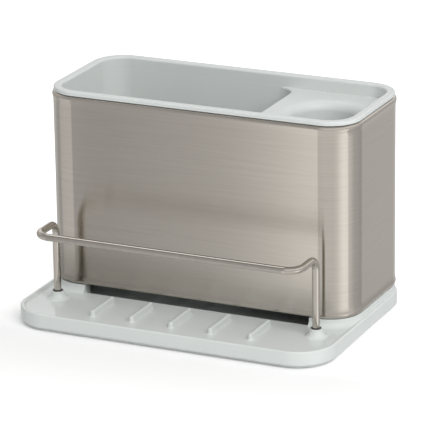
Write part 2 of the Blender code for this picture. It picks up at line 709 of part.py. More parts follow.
def tub_outside():
    """The drafted outside of the deep compartment."""
    upper = cell_outline(FACE_STEP, 0.0, CORNER_EASE)
    lower = cell_outline(FACE_STEP + TUB_DRAFT, TUB_DRAFT, CORNER_EASE)
    tub = drafted_prism("tub_outside", upper, lower, TUB_BOTTOM, SHELF_TOP - OVERLAP)
    round_lower_edge(tub, TUB_FLOOR_ROUND + TUB_WALL / 2)
    return tub


def tub_inside():
    """The drafted hollow of the deep compartment, which also cuts through the shelf."""
    wall = TUB_WALL + FACE_STEP
    upper = cell_outline(wall, DIVIDER_THICKNESS)
    lower = cell_outline(wall + TUB_DRAFT, DIVIDER_THICKNESS + TUB_DRAFT)
    hollow = drafted_prism("tub_inside", upper, lower, TUB_BOTTOM + TUB_FLOOR, SHELF_TOP + OVERLAP)
    round_lower_edge(hollow, TUB_FLOOR_ROUND)
    return hollow


def cup_outside():
    """The outside of the round cup that hangs under the shelf."""
    outside = CUP_RADIUS + CUP_WALL
    shoulder = outside + CUP_LIP / 2
    bottom = SHELF_TOP - CUP_DEPTH - TUB_FLOOR
    profile = [(0.0, SHELF_TOP - OVERLAP), (shoulder, SHELF_TOP - OVERLAP),
               (shoulder, SHELF_TOP - SHELF_THICKNESS - OVERLAP), (outside, SHELF_TOP - CUP_LIP - CUP_WALL)]
    center = (outside - CUP_DRAFT - CUP_FLOOR_ROUND, bottom + CUP_FLOOR_ROUND)
    profile += arc(center, CUP_FLOOR_ROUND, 0, -90, ROUND_STEPS)
    profile += [(0.0, bottom)]
    return turned("cup_outside", profile, (CUP_X, SLEEVE_Y))


def cup_inside():
    """The hollow of the cup, with the soft rounded lip that leads into it."""
    bottom = SHELF_TOP - CUP_DEPTH
    lip = CUP_RADIUS + CUP_LIP
    profile = [(0.0, SHELF_TOP + OVERRUN), (lip, SHELF_TOP + OVERRUN)]
    profile += arc((lip, SHELF_TOP - CUP_LIP + FACE_STEP), CUP_LIP, 90, 180, CORNER_STEPS // 2)
    center = (CUP_RADIUS - CUP_DRAFT - CUP_FLOOR_ROUND, bottom + CUP_FLOOR_ROUND)
    profile += arc(center, CUP_FLOOR_ROUND, 0, -90, ROUND_STEPS)
    profile += [(0.0, bottom)]
    return turned("cup_inside", profile, (CUP_X, SLEEVE_Y))


def drain_slots():
    """Rows of round-ended slots through the floor of the deep compartment."""
    slots = []
    half_width = SLOT_WIDTH / 2
    half_length = SLOT_LENGTH_SHARE * TUB_HALF_DEPTH
    for column in range(SLOT_COLUMNS):
        x = DIVIDER_X - TUB_LENGTH / 2 + (column - (SLOT_COLUMNS - 1) / 2) * SLOT_PITCH_X_SHARE * TUB_LENGTH
        for row in range(SLOT_ROWS):
            y = SLEEVE_Y + (row - (SLOT_ROWS - 1) / 2) * SLOT_PITCH_Y_SHARE * 2 * TUB_HALF_DEPTH
            outline = rounded_rectangle(half_width, half_length, half_width - FACE_STEP, (x, y), ROUND_STEPS)
            name = "drain_slot_" + str(column) + "_" + str(row)
            slots.append(prism(name, outline, TUB_BOTTOM - OVERRUN, TUB_BOTTOM + TUB_FLOOR + OVERLAP))
    return slots


def drain_holes():
    """A ring of round holes through the floor of the cup."""
    holes = []
    high = SHELF_TOP - CUP_DEPTH + OVERLAP
    low = SHELF_TOP - CUP_DEPTH - TUB_FLOOR - OVERRUN
    for index in range(HOLE_COUNT):
        angle = 2 * math.pi * index / HOLE_COUNT
        place = (CUP_X + HOLE_CIRCLE * math.cos(angle), SLEEVE_Y + HOLE_CIRCLE * math.sin(angle))
        profile = [(0.0, high), (HOLE_RADIUS, high), (HOLE_RADIUS, low), (0.0, low)]
        holes.append(turned("drain_hole_" + str(index), profile, place, CORNER_STEPS))
    return holes


def caddy(made):
    """The lift-out caddy: rim, deep compartment, shelf and cup in one moulding."""
    body = caddy_rim()
    for addition in (shelf_plate(), tub_outside(), cup_outside()):
        combine(body, addition, "UNION")
    for hollow in (tub_inside(), shelf_edge_round(), cup_inside()):
        combine(body, hollow, "DIFFERENCE")
    for cutter in drain_slots() + drain_holes():
        combine(body, cutter, "DIFFERENCE")
    shade(body, made)


def build():
    """Makes every piece."""
    clear_scene()
    drip_tray(material("tray_plastic", TRAY_FINISH))
    tray_feet(material("foot_rubber", FOOT_FINISH))
    rail_bushes(material("bush_rubber", BUSH_FINISH))
    rail(material("wire_steel", WIRE_FINISH))
    sleeve(material("sleeve_steel", STEEL_FINISH))
    caddy(material("caddy_plastic", CADDY_FINISH))


build()
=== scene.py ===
"""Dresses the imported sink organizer: finer mouldings, brushed steel, and a pale studio."""

import math

import bmesh
import bpy
from mathutils import Matrix, Vector


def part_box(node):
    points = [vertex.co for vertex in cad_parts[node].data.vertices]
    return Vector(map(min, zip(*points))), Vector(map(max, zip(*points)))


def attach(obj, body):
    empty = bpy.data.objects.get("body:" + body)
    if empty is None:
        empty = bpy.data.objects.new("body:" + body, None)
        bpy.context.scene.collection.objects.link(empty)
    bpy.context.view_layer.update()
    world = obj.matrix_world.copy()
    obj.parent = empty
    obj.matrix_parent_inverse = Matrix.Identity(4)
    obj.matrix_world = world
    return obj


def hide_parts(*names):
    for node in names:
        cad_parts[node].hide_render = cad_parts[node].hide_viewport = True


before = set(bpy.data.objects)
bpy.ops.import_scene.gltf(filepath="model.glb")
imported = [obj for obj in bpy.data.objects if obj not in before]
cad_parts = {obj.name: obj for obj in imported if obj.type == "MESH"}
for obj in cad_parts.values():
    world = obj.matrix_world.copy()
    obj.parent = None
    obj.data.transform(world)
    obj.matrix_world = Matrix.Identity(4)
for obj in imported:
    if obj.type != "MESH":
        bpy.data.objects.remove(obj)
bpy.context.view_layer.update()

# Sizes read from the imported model
tray_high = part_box("drip_tray")[1]
sleeve_low, sleeve_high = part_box("sleeve")
caddy_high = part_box("caddy")[1]
rail_low, rail_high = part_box("rail")
foot_low, foot_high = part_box("foot_front_left")
bush_low, bush_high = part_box("rail_bush_right")

# Sizes in metres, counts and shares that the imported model's boxes don't give
MERGE = 0.000004
FACE_STEP = 0.0001
OVERLAP = 0.001
OVERRUN = 0.006
REST_GAP = 0.0003
EASE = 0.0003
TRAY_CORNER = 0.029
LIP_HEIGHT = 0.0134
LIP_WIDTH = 0.0030
LIP_ROUND = 0.0012
FLOOR_HEIGHT = 0.0113
FLOOR_THICKNESS = 0.0024
FLOOR_FILLET = 0.0024
SKIRT_WALL = 0.0024
SKIRT_TUCK = 0.0022
SKIRT_TUCK_HEIGHT = 0.0032
SKIRT_CLEARANCE = 0.0010
SEAT_HEIGHT = 0.0061
SEAT_WIDTH = 0.0090
SEAT_FILLET = 0.0052
SEAT_ROUND = 0.0006
SEAT_TRIM = 0.0010
UPSTAND_HEIGHT = 0.0032
UPSTAND_WIDTH = 0.0024
UPSTAND_ROUND = 0.0006
MOUTH_SIDE_SPACE = 0.0315
MOUTH_CORNER = 0.0022
SEAT_CORE_WALL = 0.0022
WELL_DEPTH = 0.0062
WELL_WALL = 0.0022
WELL_LEDGE = 0.0006
RIB_COUNT = 5
RIB_PITCH = 0.0316
RIB_HEIGHT = 0.0043
RIB_WIDTH = 0.0044
RIB_FOOT_ROUND = 0.0011
RIB_TOP_ROUND = 0.0013
RIB_LEAN_SHARE = 0.12
RIB_FRONT_SPACE = 0.0158
RIB_BACK_SPACE = 0.0083
WEB_THICKNESS = 0.0018
WEB_BOTTOM = 0.0042
WEB_COLUMNS = 3
WEB_PITCH_SHARE = 0.24
SLEEVE_CORNER = 0.0248
SHEET = 0.0008
BEAD_PROUD = 0.0007
BEAD_HEIGHT = 0.0088
BEAD_FULL_SHARE = 0.9
BEAD_FAINT_SHARE = 0.12
BEAD_RADIUS = 0.0026
FLANGE_WIDTH = 0.0044
RIM_INSET = 0.0005
RIM_ROUND = 0.0011
RIM_INNER_ROUND = 0.0018
RIM_CHAMFER = 0.0003
TUB_GAP = 0.0006
TUB_WALL = 0.0020
TUB_DRAFT = 0.0022
TUB_FLOOR_GAP = 0.0058
TUB_FLOOR = 0.0024
TUB_FLOOR_ROUND = 0.0040
CELL_CORNER = 0.0155
SHELF_LENGTH = 0.0840
DIVIDER_THICKNESS = 0.0022
SHELF_EDGE_ROUND = 0.0014
SHELF_DROP = 0.0095
SHELF_THICKNESS = 0.0024
CUP_END_SPACE = 0.0415
CUP_RADIUS = 0.0245
CUP_LIP = 0.0075
CUP_DEPTH = 0.0950
CUP_WALL = 0.0020
CUP_DRAFT = 0.0012
CUP_FLOOR_ROUND = 0.0030
SLOT_COLUMNS = 5
SLOT_ROWS = 2
SLOT_LENGTH_SHARE = 0.20
SLOT_WIDTH = 0.0036
SLOT_PITCH_X_SHARE = 0.15
SLOT_PITCH_Y_SHARE = 0.36
HOLE_COUNT = 6
HOLE_RADIUS = 0.0022
HOLE_CIRCLE = 0.0130
WIRE = 0.0055
LEG_BEND = 0.0090
BAR_BEND = 0.0112
BUSH_WALL = 0.0004
BUSH_HEAD = 0.0003
BUSH_HEAD_PROUD = 0.0004
BOSS_WALL = 0.0010
BOSS_HEIGHT = 0.0062
BOSS_FLARE = 0.0058
BOSS_ROUND = 0.0004
SOCKET_WALL = 0.0018
SOCKET_FLOOR = 0.0020
FOOT_ROUND = 0.0006
POST_WALL = 0.0016
POST_BOTTOM = 0.0018
POST_SOCKET = 0.0017

# Places that follow
TRAY_HALF_WIDTH = tray_high.x
TRAY_HALF_DEPTH = tray_high.y
SLEEVE_HALF_WIDTH = sleeve_high.x - BEAD_PROUD
SLEEVE_HALF_DEPTH = (sleeve_high.y - sleeve_low.y) / 2 - BEAD_PROUD
SLEEVE_Y = (sleeve_high.y + sleeve_low.y) / 2
SLEEVE_FRONT = SLEEVE_Y - SLEEVE_HALF_DEPTH
SLEEVE_BOTTOM = sleeve_low.z
SLEEVE_TOP = sleeve_high.z
SEAT_TOP = FLOOR_HEIGHT + SEAT_HEIGHT
FLOOR_UNDERSIDE = FLOOR_HEIGHT - FLOOR_THICKNESS
FLOOR_MIDDLE = FLOOR_HEIGHT - FLOOR_THICKNESS / 2
MOUTH_HALF_WIDTH = SLEEVE_HALF_WIDTH - MOUTH_SIDE_SPACE
WELL_FLOOR = FLOOR_HEIGHT - WELL_DEPTH
WELL_UNDERSIDE = WELL_FLOOR - FLOOR_THICKNESS
WELL_FRONT = SLEEVE_FRONT + WELL_LEDGE
RIB_FRONT = RIB_FRONT_SPACE - TRAY_HALF_DEPTH
RIB_LENGTH = SLEEVE_FRONT - RIB_BACK_SPACE - RIB_FRONT
RIM_BOTTOM = SLEEVE_TOP + REST_GAP
RIM_TOP = caddy_high.z
SHELF_TOP = RIM_TOP - SHELF_DROP
TUB_BOTTOM = SLEEVE_BOTTOM + TUB_FLOOR_GAP
TUB_INSET = FLANGE_WIDTH + TUB_GAP
TUB_HALF_WIDTH = SLEEVE_HALF_WIDTH - TUB_INSET
TUB_HALF_DEPTH = SLEEVE_HALF_DEPTH - TUB_INSET
TUB_CORNER = SLEEVE_CORNER - TUB_INSET
DIVIDER_X = SLEEVE_HALF_WIDTH - SHELF_LENGTH
CUP_X = SLEEVE_HALF_WIDTH - CUP_END_SPACE
TUB_LENGTH = TUB_HALF_WIDTH + DIVIDER_X
LEG_X = rail_high.x - WIRE / 2
LEG_Y = (bush_low.y + bush_high.y) / 2
LEG_BOTTOM = rail_low.z
BAR_Y = rail_low.y + WIRE / 2
RAIL_Z = rail_high.z - WIRE / 2
BUSH_BORE = WIRE / 2 + REST_GAP
BUSH_RADIUS = BUSH_BORE + BUSH_WALL
BUSH_TOP = bush_high.z
BUSH_BOTTOM = bush_low.z
SOCKET_RADIUS = BUSH_RADIUS + REST_GAP
SOCKET_BOTTOM = BUSH_BOTTOM - REST_GAP
BOSS_RADIUS = SOCKET_RADIUS + BOSS_WALL
BOSS_TOP = FLOOR_HEIGHT + BOSS_HEIGHT
FOOT_RADIUS = (foot_high.x - foot_low.x) / 2
FOOT_X = -(foot_high.x + foot_low.x) / 2
FOOT_Y = -(foot_high.y + foot_low.y) / 2

# Angles of arcs in the sections, in degrees
LIP_INNER_ANGLE = 160
FLOOR_FILLET_ANGLE = -50
TUCK_ANGLE = 189
RIB_FOOT_ANGLE = 190
RIB_TOP_ANGLE = 5

# Steps round a corner or bend; shapes that meet have counts of their own, so that no edges coincide
CORNER_STEPS = 20
OTHER_CORNER_STEPS = 17
WELL_CORNER_STEPS = 19
TRIM_CORNER_STEPS = 21
SHEET_CORNER_STEPS = 36
MOUTH_CORNER_STEPS = 5
SLOT_CORNER_STEPS = 6
RIB_NOSE_STEPS = 8
LEG_BEND_STEPS = 16
BAR_BEND_STEPS = 20

# Steps in the arcs of a section
UPSTAND_STEPS = 3
EDGE_STEPS = 4
RIB_FOOT_STEPS = 5
ROUND_STEPS = 6
RIB_TOP_STEPS = 7
FOLD_STEPS = 8
FILLET_STEPS = 9
CUP_LIP_STEPS = 14

# Steps in a full turn
HOLE_TURN = 20
WIRE_TURN = 28
RECESS_TURN = 36
POST_TURN = 40
SOCKET_TURN = 48
BOSS_TURN = 64
CUP_TURN = 72
CUP_HOLLOW_TURN = 80

# Shading: the angle in degrees past which an edge stays sharp, and how far large faces lead
SHARP_ANGLE = 32
LARGE_FACE_WEIGHT = 100

# Axes of the spins
LEVEL = (1.0, 0.0, 0.0)
UPRIGHT = (0.0, 0.0, 1.0)


# Shapes

def arc(center, radius, start, end, steps=ROUND_STEPS):
    """Points of a section on an arc, in degrees."""
    angles = [math.radians(start + (end - start) * step / steps) for step in range(steps + 1)]
    return [(center[0] + radius * math.cos(a), center[1] + radius * math.sin(a)) for a in angles]


def chain(shaped, points, closed):
    """Vertices joined by edges, as the start of a swept or turned shape."""
    verts = [shaped.verts.new(point) for point in points]
    edges = [shaped.edges.new(pair) for pair in zip(verts, verts[1:])]
    if closed:
        edges.append(shaped.edges.new((verts[-1], verts[0])))
    return edges


def pulled(shaped, edges, move):
    """Extrudes a chain of edges along a vector, and gives the new chain."""
    made = bmesh.ops.extrude_edge_only(shaped, edges=edges)["geom"]
    verts = {item for item in made if isinstance(item, bmesh.types.BMVert)}
    bmesh.ops.translate(shaped, verts=list(verts), vec=move)
    return [item for item in made
            if isinstance(item, bmesh.types.BMEdge) and set(item.verts) <= verts]


def swung(shaped, edges, center, axis, angle, steps):
    """Spins a chain of edges about a centre, and gives the last chain."""
    geometry = list(dict.fromkeys(vert for edge in edges for vert in edge.verts)) + edges
    made = bmesh.ops.spin(shaped, geom=geometry, cent=center, axis=axis,
                          angle=math.radians(angle), steps=steps, use_merge=False,
                          use_duplicate=False)["geom_last"]
    return [item for item in made if isinstance(item, bmesh.types.BMEdge)]


def closed_up(shaped):
    """Merges what meets, fills open ends, and turns every face outward."""
    bmesh.ops.remove_doubles(shaped, verts=shaped.verts, dist=MERGE)
    open_edges = [edge for edge in shaped.edges if edge.is_boundary]
    if open_edges:
        bmesh.ops.holes_fill(shaped, edges=open_edges, sides=0)
    bmesh.ops.recalc_face_normals(shaped, faces=shaped.faces)
    return shaped


def box_line(half_width, half_depth, radius, middle=0.0):
    """A rounded rectangle for swept: left, right, front, back, and its corners' radii."""
    return -half_width, half_width, middle - half_depth, middle + half_depth, radius, radius


def swept(line, section, closed=True, steps=CORNER_STEPS):
    """A section of distance outward and height, carried round a line by spins and pulls."""
    left, right, front, back, left_radius, right_radius = line
    corners = [(right - right_radius, front + right_radius, right_radius),
               (right - right_radius, back - right_radius, right_radius),
               (left + left_radius, back - left_radius, left_radius),
               (left + left_radius, front + left_radius, left_radius)]
    shaped = bmesh.new()
    x, y, radius = corners[0]
    start = [(x, y - radius - outward, height) for outward, height in section]
    edges = chain(shaped, start, closed)
    facing = Vector((0.0, -1.0, 0.0))
    for index, (x, y, radius) in enumerate(corners):
        edges = swung(shaped, edges, (x, y, 0.0), UPRIGHT, 90, steps)
        facing = Matrix.Rotation(math.radians(90), 3, "Z") @ facing
        next_x, next_y, next_radius = corners[(index + 1) % 4]
        move = Vector((next_x - x, next_y - y, 0.0)) + facing * (next_radius - radius)
        edges = pulled(shaped, edges, move)
    return closed_up(shaped)


def turned(profile, place, steps, closed=False):
    """A profile of radius and height spun right round an upright axis."""
    shaped = bmesh.new()
    chain(shaped, [(place[0] + radius, place[1], height) for radius, height in profile], closed)
    bmesh.ops.spin(shaped, geom=shaped.verts[:] + shaped.edges[:], cent=(*place, 0.0),
                   axis=UPRIGHT, angle=math.radians(360), steps=steps, use_merge=True,
                   use_duplicate=False)
    return closed_up(shaped)


def rod(radius, bottom, top, place, steps):
    """A plain upright cylinder."""
    return turned([(0.0, top), (radius, top), (radius, bottom), (0.0, bottom)], place, steps)


def slab(line, bottom, top, steps=CORNER_STEPS):
    """A plate with upright edges."""
    return swept(line, [(0.0, bottom), (0.0, top)], closed=False, steps=steps)


def block(low, high):
    """A plain block between two corners."""
    shaped = bmesh.new()
    middle = (Vector(low) + Vector(high)) / 2
    size = Vector(high) - Vector(low)
    place = Matrix.Translation(middle) @ Matrix.Diagonal((size.x, size.y, size.z, 1.0))
    bmesh.ops.create_cube(shaped, size=1.0, matrix=place)
    return shaped


def as_object(name, shaped):
    """An object that holds a shape."""
    mesh = bpy.data.meshes.new(name)
    shaped.to_mesh(mesh)
    shaped.free()
    obj = bpy.data.objects.new(name, mesh)
    bpy.context.scene.collection.objects.link(obj)
    return obj


def moulded(name, start, steps):
    """Joins and cuts closed shapes in turn, and keeps the result as one mesh."""
    obj = as_object(name, start)
    others = []
    for operation, shaped in steps:
        other = as_object(name + "_part", shaped)
        others.append(other)
        step = obj.modifiers.new(operation.title(), "BOOLEAN")
        step.operation = operation
        step.solver = "EXACT"
        step.object = other
    graph = bpy.context.evaluated_depsgraph_get()
    mesh = bpy.data.meshes.new_from_object(obj.evaluated_get(graph))
    for extra in [obj] + others:
        bpy.data.objects.remove(extra)
    made = bpy.data.objects.new(name, mesh)
    bpy.context.scene.collection.objects.link(made)
    return made


def lifted(obj):
    """Takes a shape out of its object again."""
    shaped = bmesh.new()
    shaped.from_mesh(obj.data)
    bpy.data.objects.remove(obj)
    return shaped


def dressed(obj, finish, body, nodes):
    """Shades a piece, gives it its finish, and sets it in the frame in place of its CAD nodes."""
    obj.data.materials.clear()
    obj.data.materials.append(finish)
    obj.data.shade_smooth()
    obj.data.set_sharp_from_angle(angle=math.radians(SHARP_ANGLE))
    weigh = obj.modifiers.new("Even shading", "WEIGHTED_NORMAL")
    weigh.keep_sharp = True
    weigh.weight = LARGE_FACE_WEIGHT
    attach(obj, body)
    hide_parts(*nodes)


# The tray

TRAY_LINE = box_line(TRAY_HALF_WIDTH, TRAY_HALF_DEPTH, TRAY_CORNER)
SEAT_LINE = box_line(SLEEVE_HALF_WIDTH - FACE_STEP, SLEEVE_HALF_DEPTH - FACE_STEP,
                     SLEEVE_CORNER - FACE_STEP, SLEEVE_Y)


def tray_inset_line(inset):
    """The tray's line moved inward, with corners eased a little so that no wall is met edge on."""
    return box_line(TRAY_HALF_WIDTH - inset, TRAY_HALF_DEPTH - inset, TRAY_CORNER - inset + EASE)


def tray_wall():
    """Lip, outer skirt and tucked-in lower edge."""
    section = [(0.0, SKIRT_TUCK_HEIGHT)]
    section += arc((-LIP_ROUND, LIP_HEIGHT - LIP_ROUND), LIP_ROUND, 0, 90)
    section += arc((LIP_ROUND - LIP_WIDTH, LIP_HEIGHT - LIP_ROUND), LIP_ROUND, 90,
                   LIP_INNER_ANGLE)
    toe = LIP_WIDTH + FLOOR_FILLET
    section += arc((-toe, FLOOR_HEIGHT + FLOOR_FILLET - FACE_STEP), FLOOR_FILLET,
                   FLOOR_FILLET_ANGLE, -90)
    inner = -SKIRT_TUCK - SKIRT_WALL
    section += [(-toe, FLOOR_MIDDLE), (inner, FLOOR_MIDDLE), (inner, SKIRT_CLEARANCE),
                (-SKIRT_TUCK, SKIRT_CLEARANCE)]
    angle = math.radians(TUCK_ANGLE)
    section += [(SKIRT_TUCK * math.cos(angle), SKIRT_TUCK_HEIGHT + SKIRT_TUCK * math.sin(angle))]
    return swept(TRAY_LINE, section)


def mouth_block(half_width):
    """The block that opens the front of the seat."""
    line = (-half_width, half_width, SLEEVE_FRONT - SEAT_FILLET - OVERRUN,
            SLEEVE_FRONT + SEAT_WIDTH + OVERRUN, MOUTH_CORNER, MOUTH_CORNER)
    return slab(line, -OVERRUN, SEAT_TOP + UPSTAND_HEIGHT + OVERRUN, MOUTH_CORNER_STEPS)


def seat_ring():
    """The raised seat with its fillet and the low upstand inside it."""
    toe = FLOOR_HEIGHT - FACE_STEP
    section = [(SEAT_FILLET, FLOOR_MIDDLE)]
    section += arc((SEAT_FILLET, toe + SEAT_FILLET), SEAT_FILLET, 270, 180, FILLET_STEPS)
    section += arc((-SEAT_ROUND, SEAT_TOP - SEAT_ROUND), SEAT_ROUND, 0, 90, EDGE_STEPS)
    outer = UPSTAND_WIDTH - SEAT_WIDTH
    peak = SEAT_TOP + UPSTAND_HEIGHT
    section += [(outer, SEAT_TOP)]
    section += arc((outer - UPSTAND_ROUND, peak - UPSTAND_ROUND), UPSTAND_ROUND, 0, 90,
                   UPSTAND_STEPS)
    section += [(-SEAT_WIDTH, peak), (-SEAT_WIDTH, FLOOR_MIDDLE)]
    return swept(SEAT_LINE, section, steps=OTHER_CORNER_STEPS)


def seat_channel():
    """The channel that cores the seat from below."""
    outer = -SEAT_CORE_WALL
    inner = SEAT_CORE_WALL - SEAT_WIDTH
    low = FLOOR_UNDERSIDE - OVERLAP
    high = SEAT_TOP - FLOOR_THICKNESS
    return swept(SEAT_LINE, [(outer, low), (outer, high), (inner, high), (inner, low)])


def well_shape(inset, half_width, front, bottom, top):
    """The well's outside or inside: the seat's line moved inward, with a throat to the mouth."""
    line = box_line(SLEEVE_HALF_WIDTH - inset, SLEEVE_HALF_DEPTH - inset,
                    SLEEVE_CORNER - inset + EASE, SLEEVE_Y)
    back = SLEEVE_FRONT + SEAT_WIDTH + OVERRUN
    throat_line = (-half_width, half_width, front, back, MOUTH_CORNER, MOUTH_CORNER)
    throat = slab(throat_line, bottom + FACE_STEP, top + FACE_STEP, MOUTH_CORNER_STEPS)
    well = slab(line, bottom, top, WELL_CORNER_STEPS)
    return lifted(moulded("well", well, [("UNION", throat)]))


def tray_rib(index):
    """A rib like a half-buried grain: a fillet at its foot, a round ridge and round noses."""
    half = RIB_WIDTH / 2
    x = (index - (RIB_COUNT - 1) / 2) * RIB_PITCH
    nose = half - FACE_STEP
    line = (x - half, x + half, RIB_FRONT, RIB_FRONT + RIB_LENGTH, nose, nose)
    toe = FLOOR_HEIGHT - FACE_STEP
    top = FLOOR_HEIGHT + RIB_HEIGHT
    section = [(RIB_FOOT_ROUND, FLOOR_MIDDLE)]
    section += arc((RIB_FOOT_ROUND, toe + RIB_FOOT_ROUND), RIB_FOOT_ROUND, 270,
                   RIB_FOOT_ANGLE, RIB_FOOT_STEPS)
    ridge = (-RIB_TOP_ROUND - RIB_HEIGHT * RIB_LEAN_SHARE, top - RIB_TOP_ROUND)
    section += arc(ridge, RIB_TOP_ROUND, RIB_TOP_ANGLE, 90, RIB_TOP_STEPS)
    return swept(line, section, closed=False, steps=RIB_NOSE_STEPS)


def rail_boss(side):
    """A flared boss with a closed socket under the floor."""
    edge = (BOSS_RADIUS - BOSS_ROUND, BOSS_TOP - BOSS_ROUND)
    profile = [(0.0, BOSS_TOP)] + arc(edge, BOSS_ROUND, 90, 0, EDGE_STEPS)
    toe = BOSS_RADIUS + BOSS_FLARE
    flare = (toe, FLOOR_HEIGHT - FACE_STEP + BOSS_FLARE)
    profile += arc(flare, BOSS_FLARE, 180, 270, FILLET_STEPS)
    outside = SOCKET_RADIUS + SOCKET_WALL
    end = SOCKET_BOTTOM - SOCKET_FLOOR
    profile += [(toe, FLOOR_MIDDLE), (outside, FLOOR_MIDDLE), (outside, end), (0.0, end)]
    return turned(profile, (side * LEG_X, LEG_Y), BOSS_TURN)


def socket_core(side):
    """The hole in a boss."""
    place = (side * LEG_X, LEG_Y)
    return rod(SOCKET_RADIUS, SOCKET_BOTTOM, BOSS_TOP + OVERRUN, place, SOCKET_TURN)


def foot_places():
    """The four places of the feet, with their names."""
    return {"front_left": (-FOOT_X, -FOOT_Y), "front_right": (FOOT_X, -FOOT_Y),
            "back_left": (-FOOT_X, FOOT_Y), "back_right": (FOOT_X, FOOT_Y)}


def foot_post(place):
    """A post under the front floor or under the well."""
    radius = FOOT_RADIUS + REST_GAP + POST_WALL
    top = FLOOR_MIDDLE if place[1] < WELL_FRONT else WELL_UNDERSIDE + FLOOR_THICKNESS / 2
    return rod(radius, POST_BOTTOM, top, place, POST_TURN)


def foot_recess(place):
    """The recess in a post for its foot."""
    return rod(FOOT_RADIUS + REST_GAP, -OVERRUN, POST_BOTTOM + POST_SOCKET, place, RECESS_TURN)


def floor_webs():
    """Webs under the front floor, from the skirt to the well and one from side to side."""
    skirt = SKIRT_TUCK + SKIRT_WALL - OVERLAP
    end_x = TRAY_HALF_WIDTH - skirt
    front = skirt - TRAY_HALF_DEPTH
    back = WELL_FRONT - WELL_WALL / 2
    cross = SLEEVE_FRONT - SEAT_WIDTH
    webs = [block((-end_x, cross, WEB_BOTTOM), (end_x, cross + WEB_THICKNESS, FLOOR_MIDDLE))]
    pitch = WEB_PITCH_SHARE * 2 * TRAY_HALF_WIDTH
    for index in range(WEB_COLUMNS):
        left = (index - (WEB_COLUMNS - 1) / 2) * pitch - WEB_THICKNESS / 2
        webs.append(block((left, front, WEB_BOTTOM), (left + WEB_THICKNESS, back, FLOOR_MIDDLE)))
    return webs


def drip_tray():
    """The whole tray as one moulding."""
    over_seat = SEAT_TOP + UPSTAND_HEIGHT + OVERRUN
    seat_trim = slab(tray_inset_line(SEAT_TRIM), 0.0, over_seat, TRIM_CORNER_STEPS)
    seat = moulded("seat", seat_ring(), [("INTERSECT", seat_trim),
                                         ("DIFFERENCE", mouth_block(MOUTH_HALF_WIDTH))])
    channel = moulded("channel", seat_channel(),
                      [("DIFFERENCE", mouth_block(MOUTH_HALF_WIDTH + SEAT_CORE_WALL))])
    well = well_shape(SEAT_WIDTH - WELL_WALL + 2 * FACE_STEP,
                      MOUTH_HALF_WIDTH + WELL_WALL - FACE_STEP, WELL_FRONT - WELL_WALL,
                      WELL_UNDERSIDE, FLOOR_MIDDLE - FACE_STEP)
    hollow = well_shape(SEAT_WIDTH + 2 * FACE_STEP, MOUTH_HALF_WIDTH - FACE_STEP, WELL_FRONT,
                        WELL_FLOOR, FLOOR_HEIGHT + FACE_STEP)
    floor = slab(tray_inset_line(LIP_WIDTH + LIP_ROUND / 2), FLOOR_UNDERSIDE, FLOOR_HEIGHT,
                 OTHER_CORNER_STEPS)
    added = [floor, lifted(seat), well]
    added += [tray_rib(index) for index in range(RIB_COUNT)]
    added += floor_webs()
    added += [foot_post(place) for place in foot_places().values()]
    added += [rail_boss(side) for side in (-1, 1)]
    removed = [lifted(channel), hollow]
    removed += [foot_recess(place) for place in foot_places().values()]
    removed += [socket_core(side) for side in (-1, 1)]
    steps = [("UNION", shaped) for shaped in added]
    steps += [("DIFFERENCE", shaped) for shaped in removed]
    return moulded("tray_moulding", tray_wall(), steps)


def foot_pad(name, place):
    """A round pad with a softened lower edge."""
    profile = [(0.0, foot_high.z), (FOOT_RADIUS, foot_high.z)]
    profile += arc((FOOT_RADIUS - FOOT_ROUND, FOOT_ROUND), FOOT_ROUND, 0, -90, EDGE_STEPS)
    profile += [(0.0, 0.0)]
    return as_object(name, turned(profile, place, POST_TURN))


def rail_bush(name, side):
    """The headed bush round a leg of the rail."""
    head = BUSH_RADIUS + BUSH_HEAD_PROUD
    under = BUSH_TOP - BUSH_HEAD
    soft = BUSH_HEAD / 2
    profile = [(BUSH_BORE, BUSH_BOTTOM), (BUSH_BORE, BUSH_TOP)]
    profile += arc((head - soft, BUSH_TOP - soft), soft, 90, -90, EDGE_STEPS)
    profile += [(BUSH_RADIUS, under), (BUSH_RADIUS, BUSH_BOTTOM)]
    return as_object(name, turned(profile, (side * LEG_X, LEG_Y), SOCKET_TURN, closed=True))


def wire_rail():
    """The towel rail: one round wire pulled and bent in turn."""
    shaped = bmesh.new()
    place = Matrix.Translation((LEG_X, LEG_Y, LEG_BOTTOM))
    bmesh.ops.create_circle(shaped, segments=WIRE_TURN, radius=WIRE / 2, matrix=place)
    edges = shaped.edges[:]
    upper = RAIL_Z - LEG_BEND
    bend_y = BAR_Y + BAR_BEND
    bend_x = LEG_X - BAR_BEND
    reach = LEG_Y - LEG_BEND - bend_y
    edges = pulled(shaped, edges, (0.0, 0.0, upper - LEG_BOTTOM))
    edges = swung(shaped, edges, (LEG_X, LEG_Y - LEG_BEND, upper), LEVEL, 90, LEG_BEND_STEPS)
    edges = pulled(shaped, edges, (0.0, -reach, 0.0))
    edges = swung(shaped, edges, (bend_x, bend_y, RAIL_Z), UPRIGHT, -90, BAR_BEND_STEPS)
    edges = pulled(shaped, edges, (-2 * bend_x, 0.0, 0.0))
    edges = swung(shaped, edges, (-bend_x, bend_y, RAIL_Z), UPRIGHT, -90, BAR_BEND_STEPS)
    edges = pulled(shaped, edges, (0.0, reach, 0.0))
    edges = swung(shaped, edges, (-LEG_X, LEG_Y - LEG_BEND, upper), LEVEL, -90, LEG_BEND_STEPS)
    pulled(shaped, edges, (0.0, 0.0, LEG_BOTTOM - upper))
    return as_object("wire_rail", closed_up(shaped))


# The sleeve

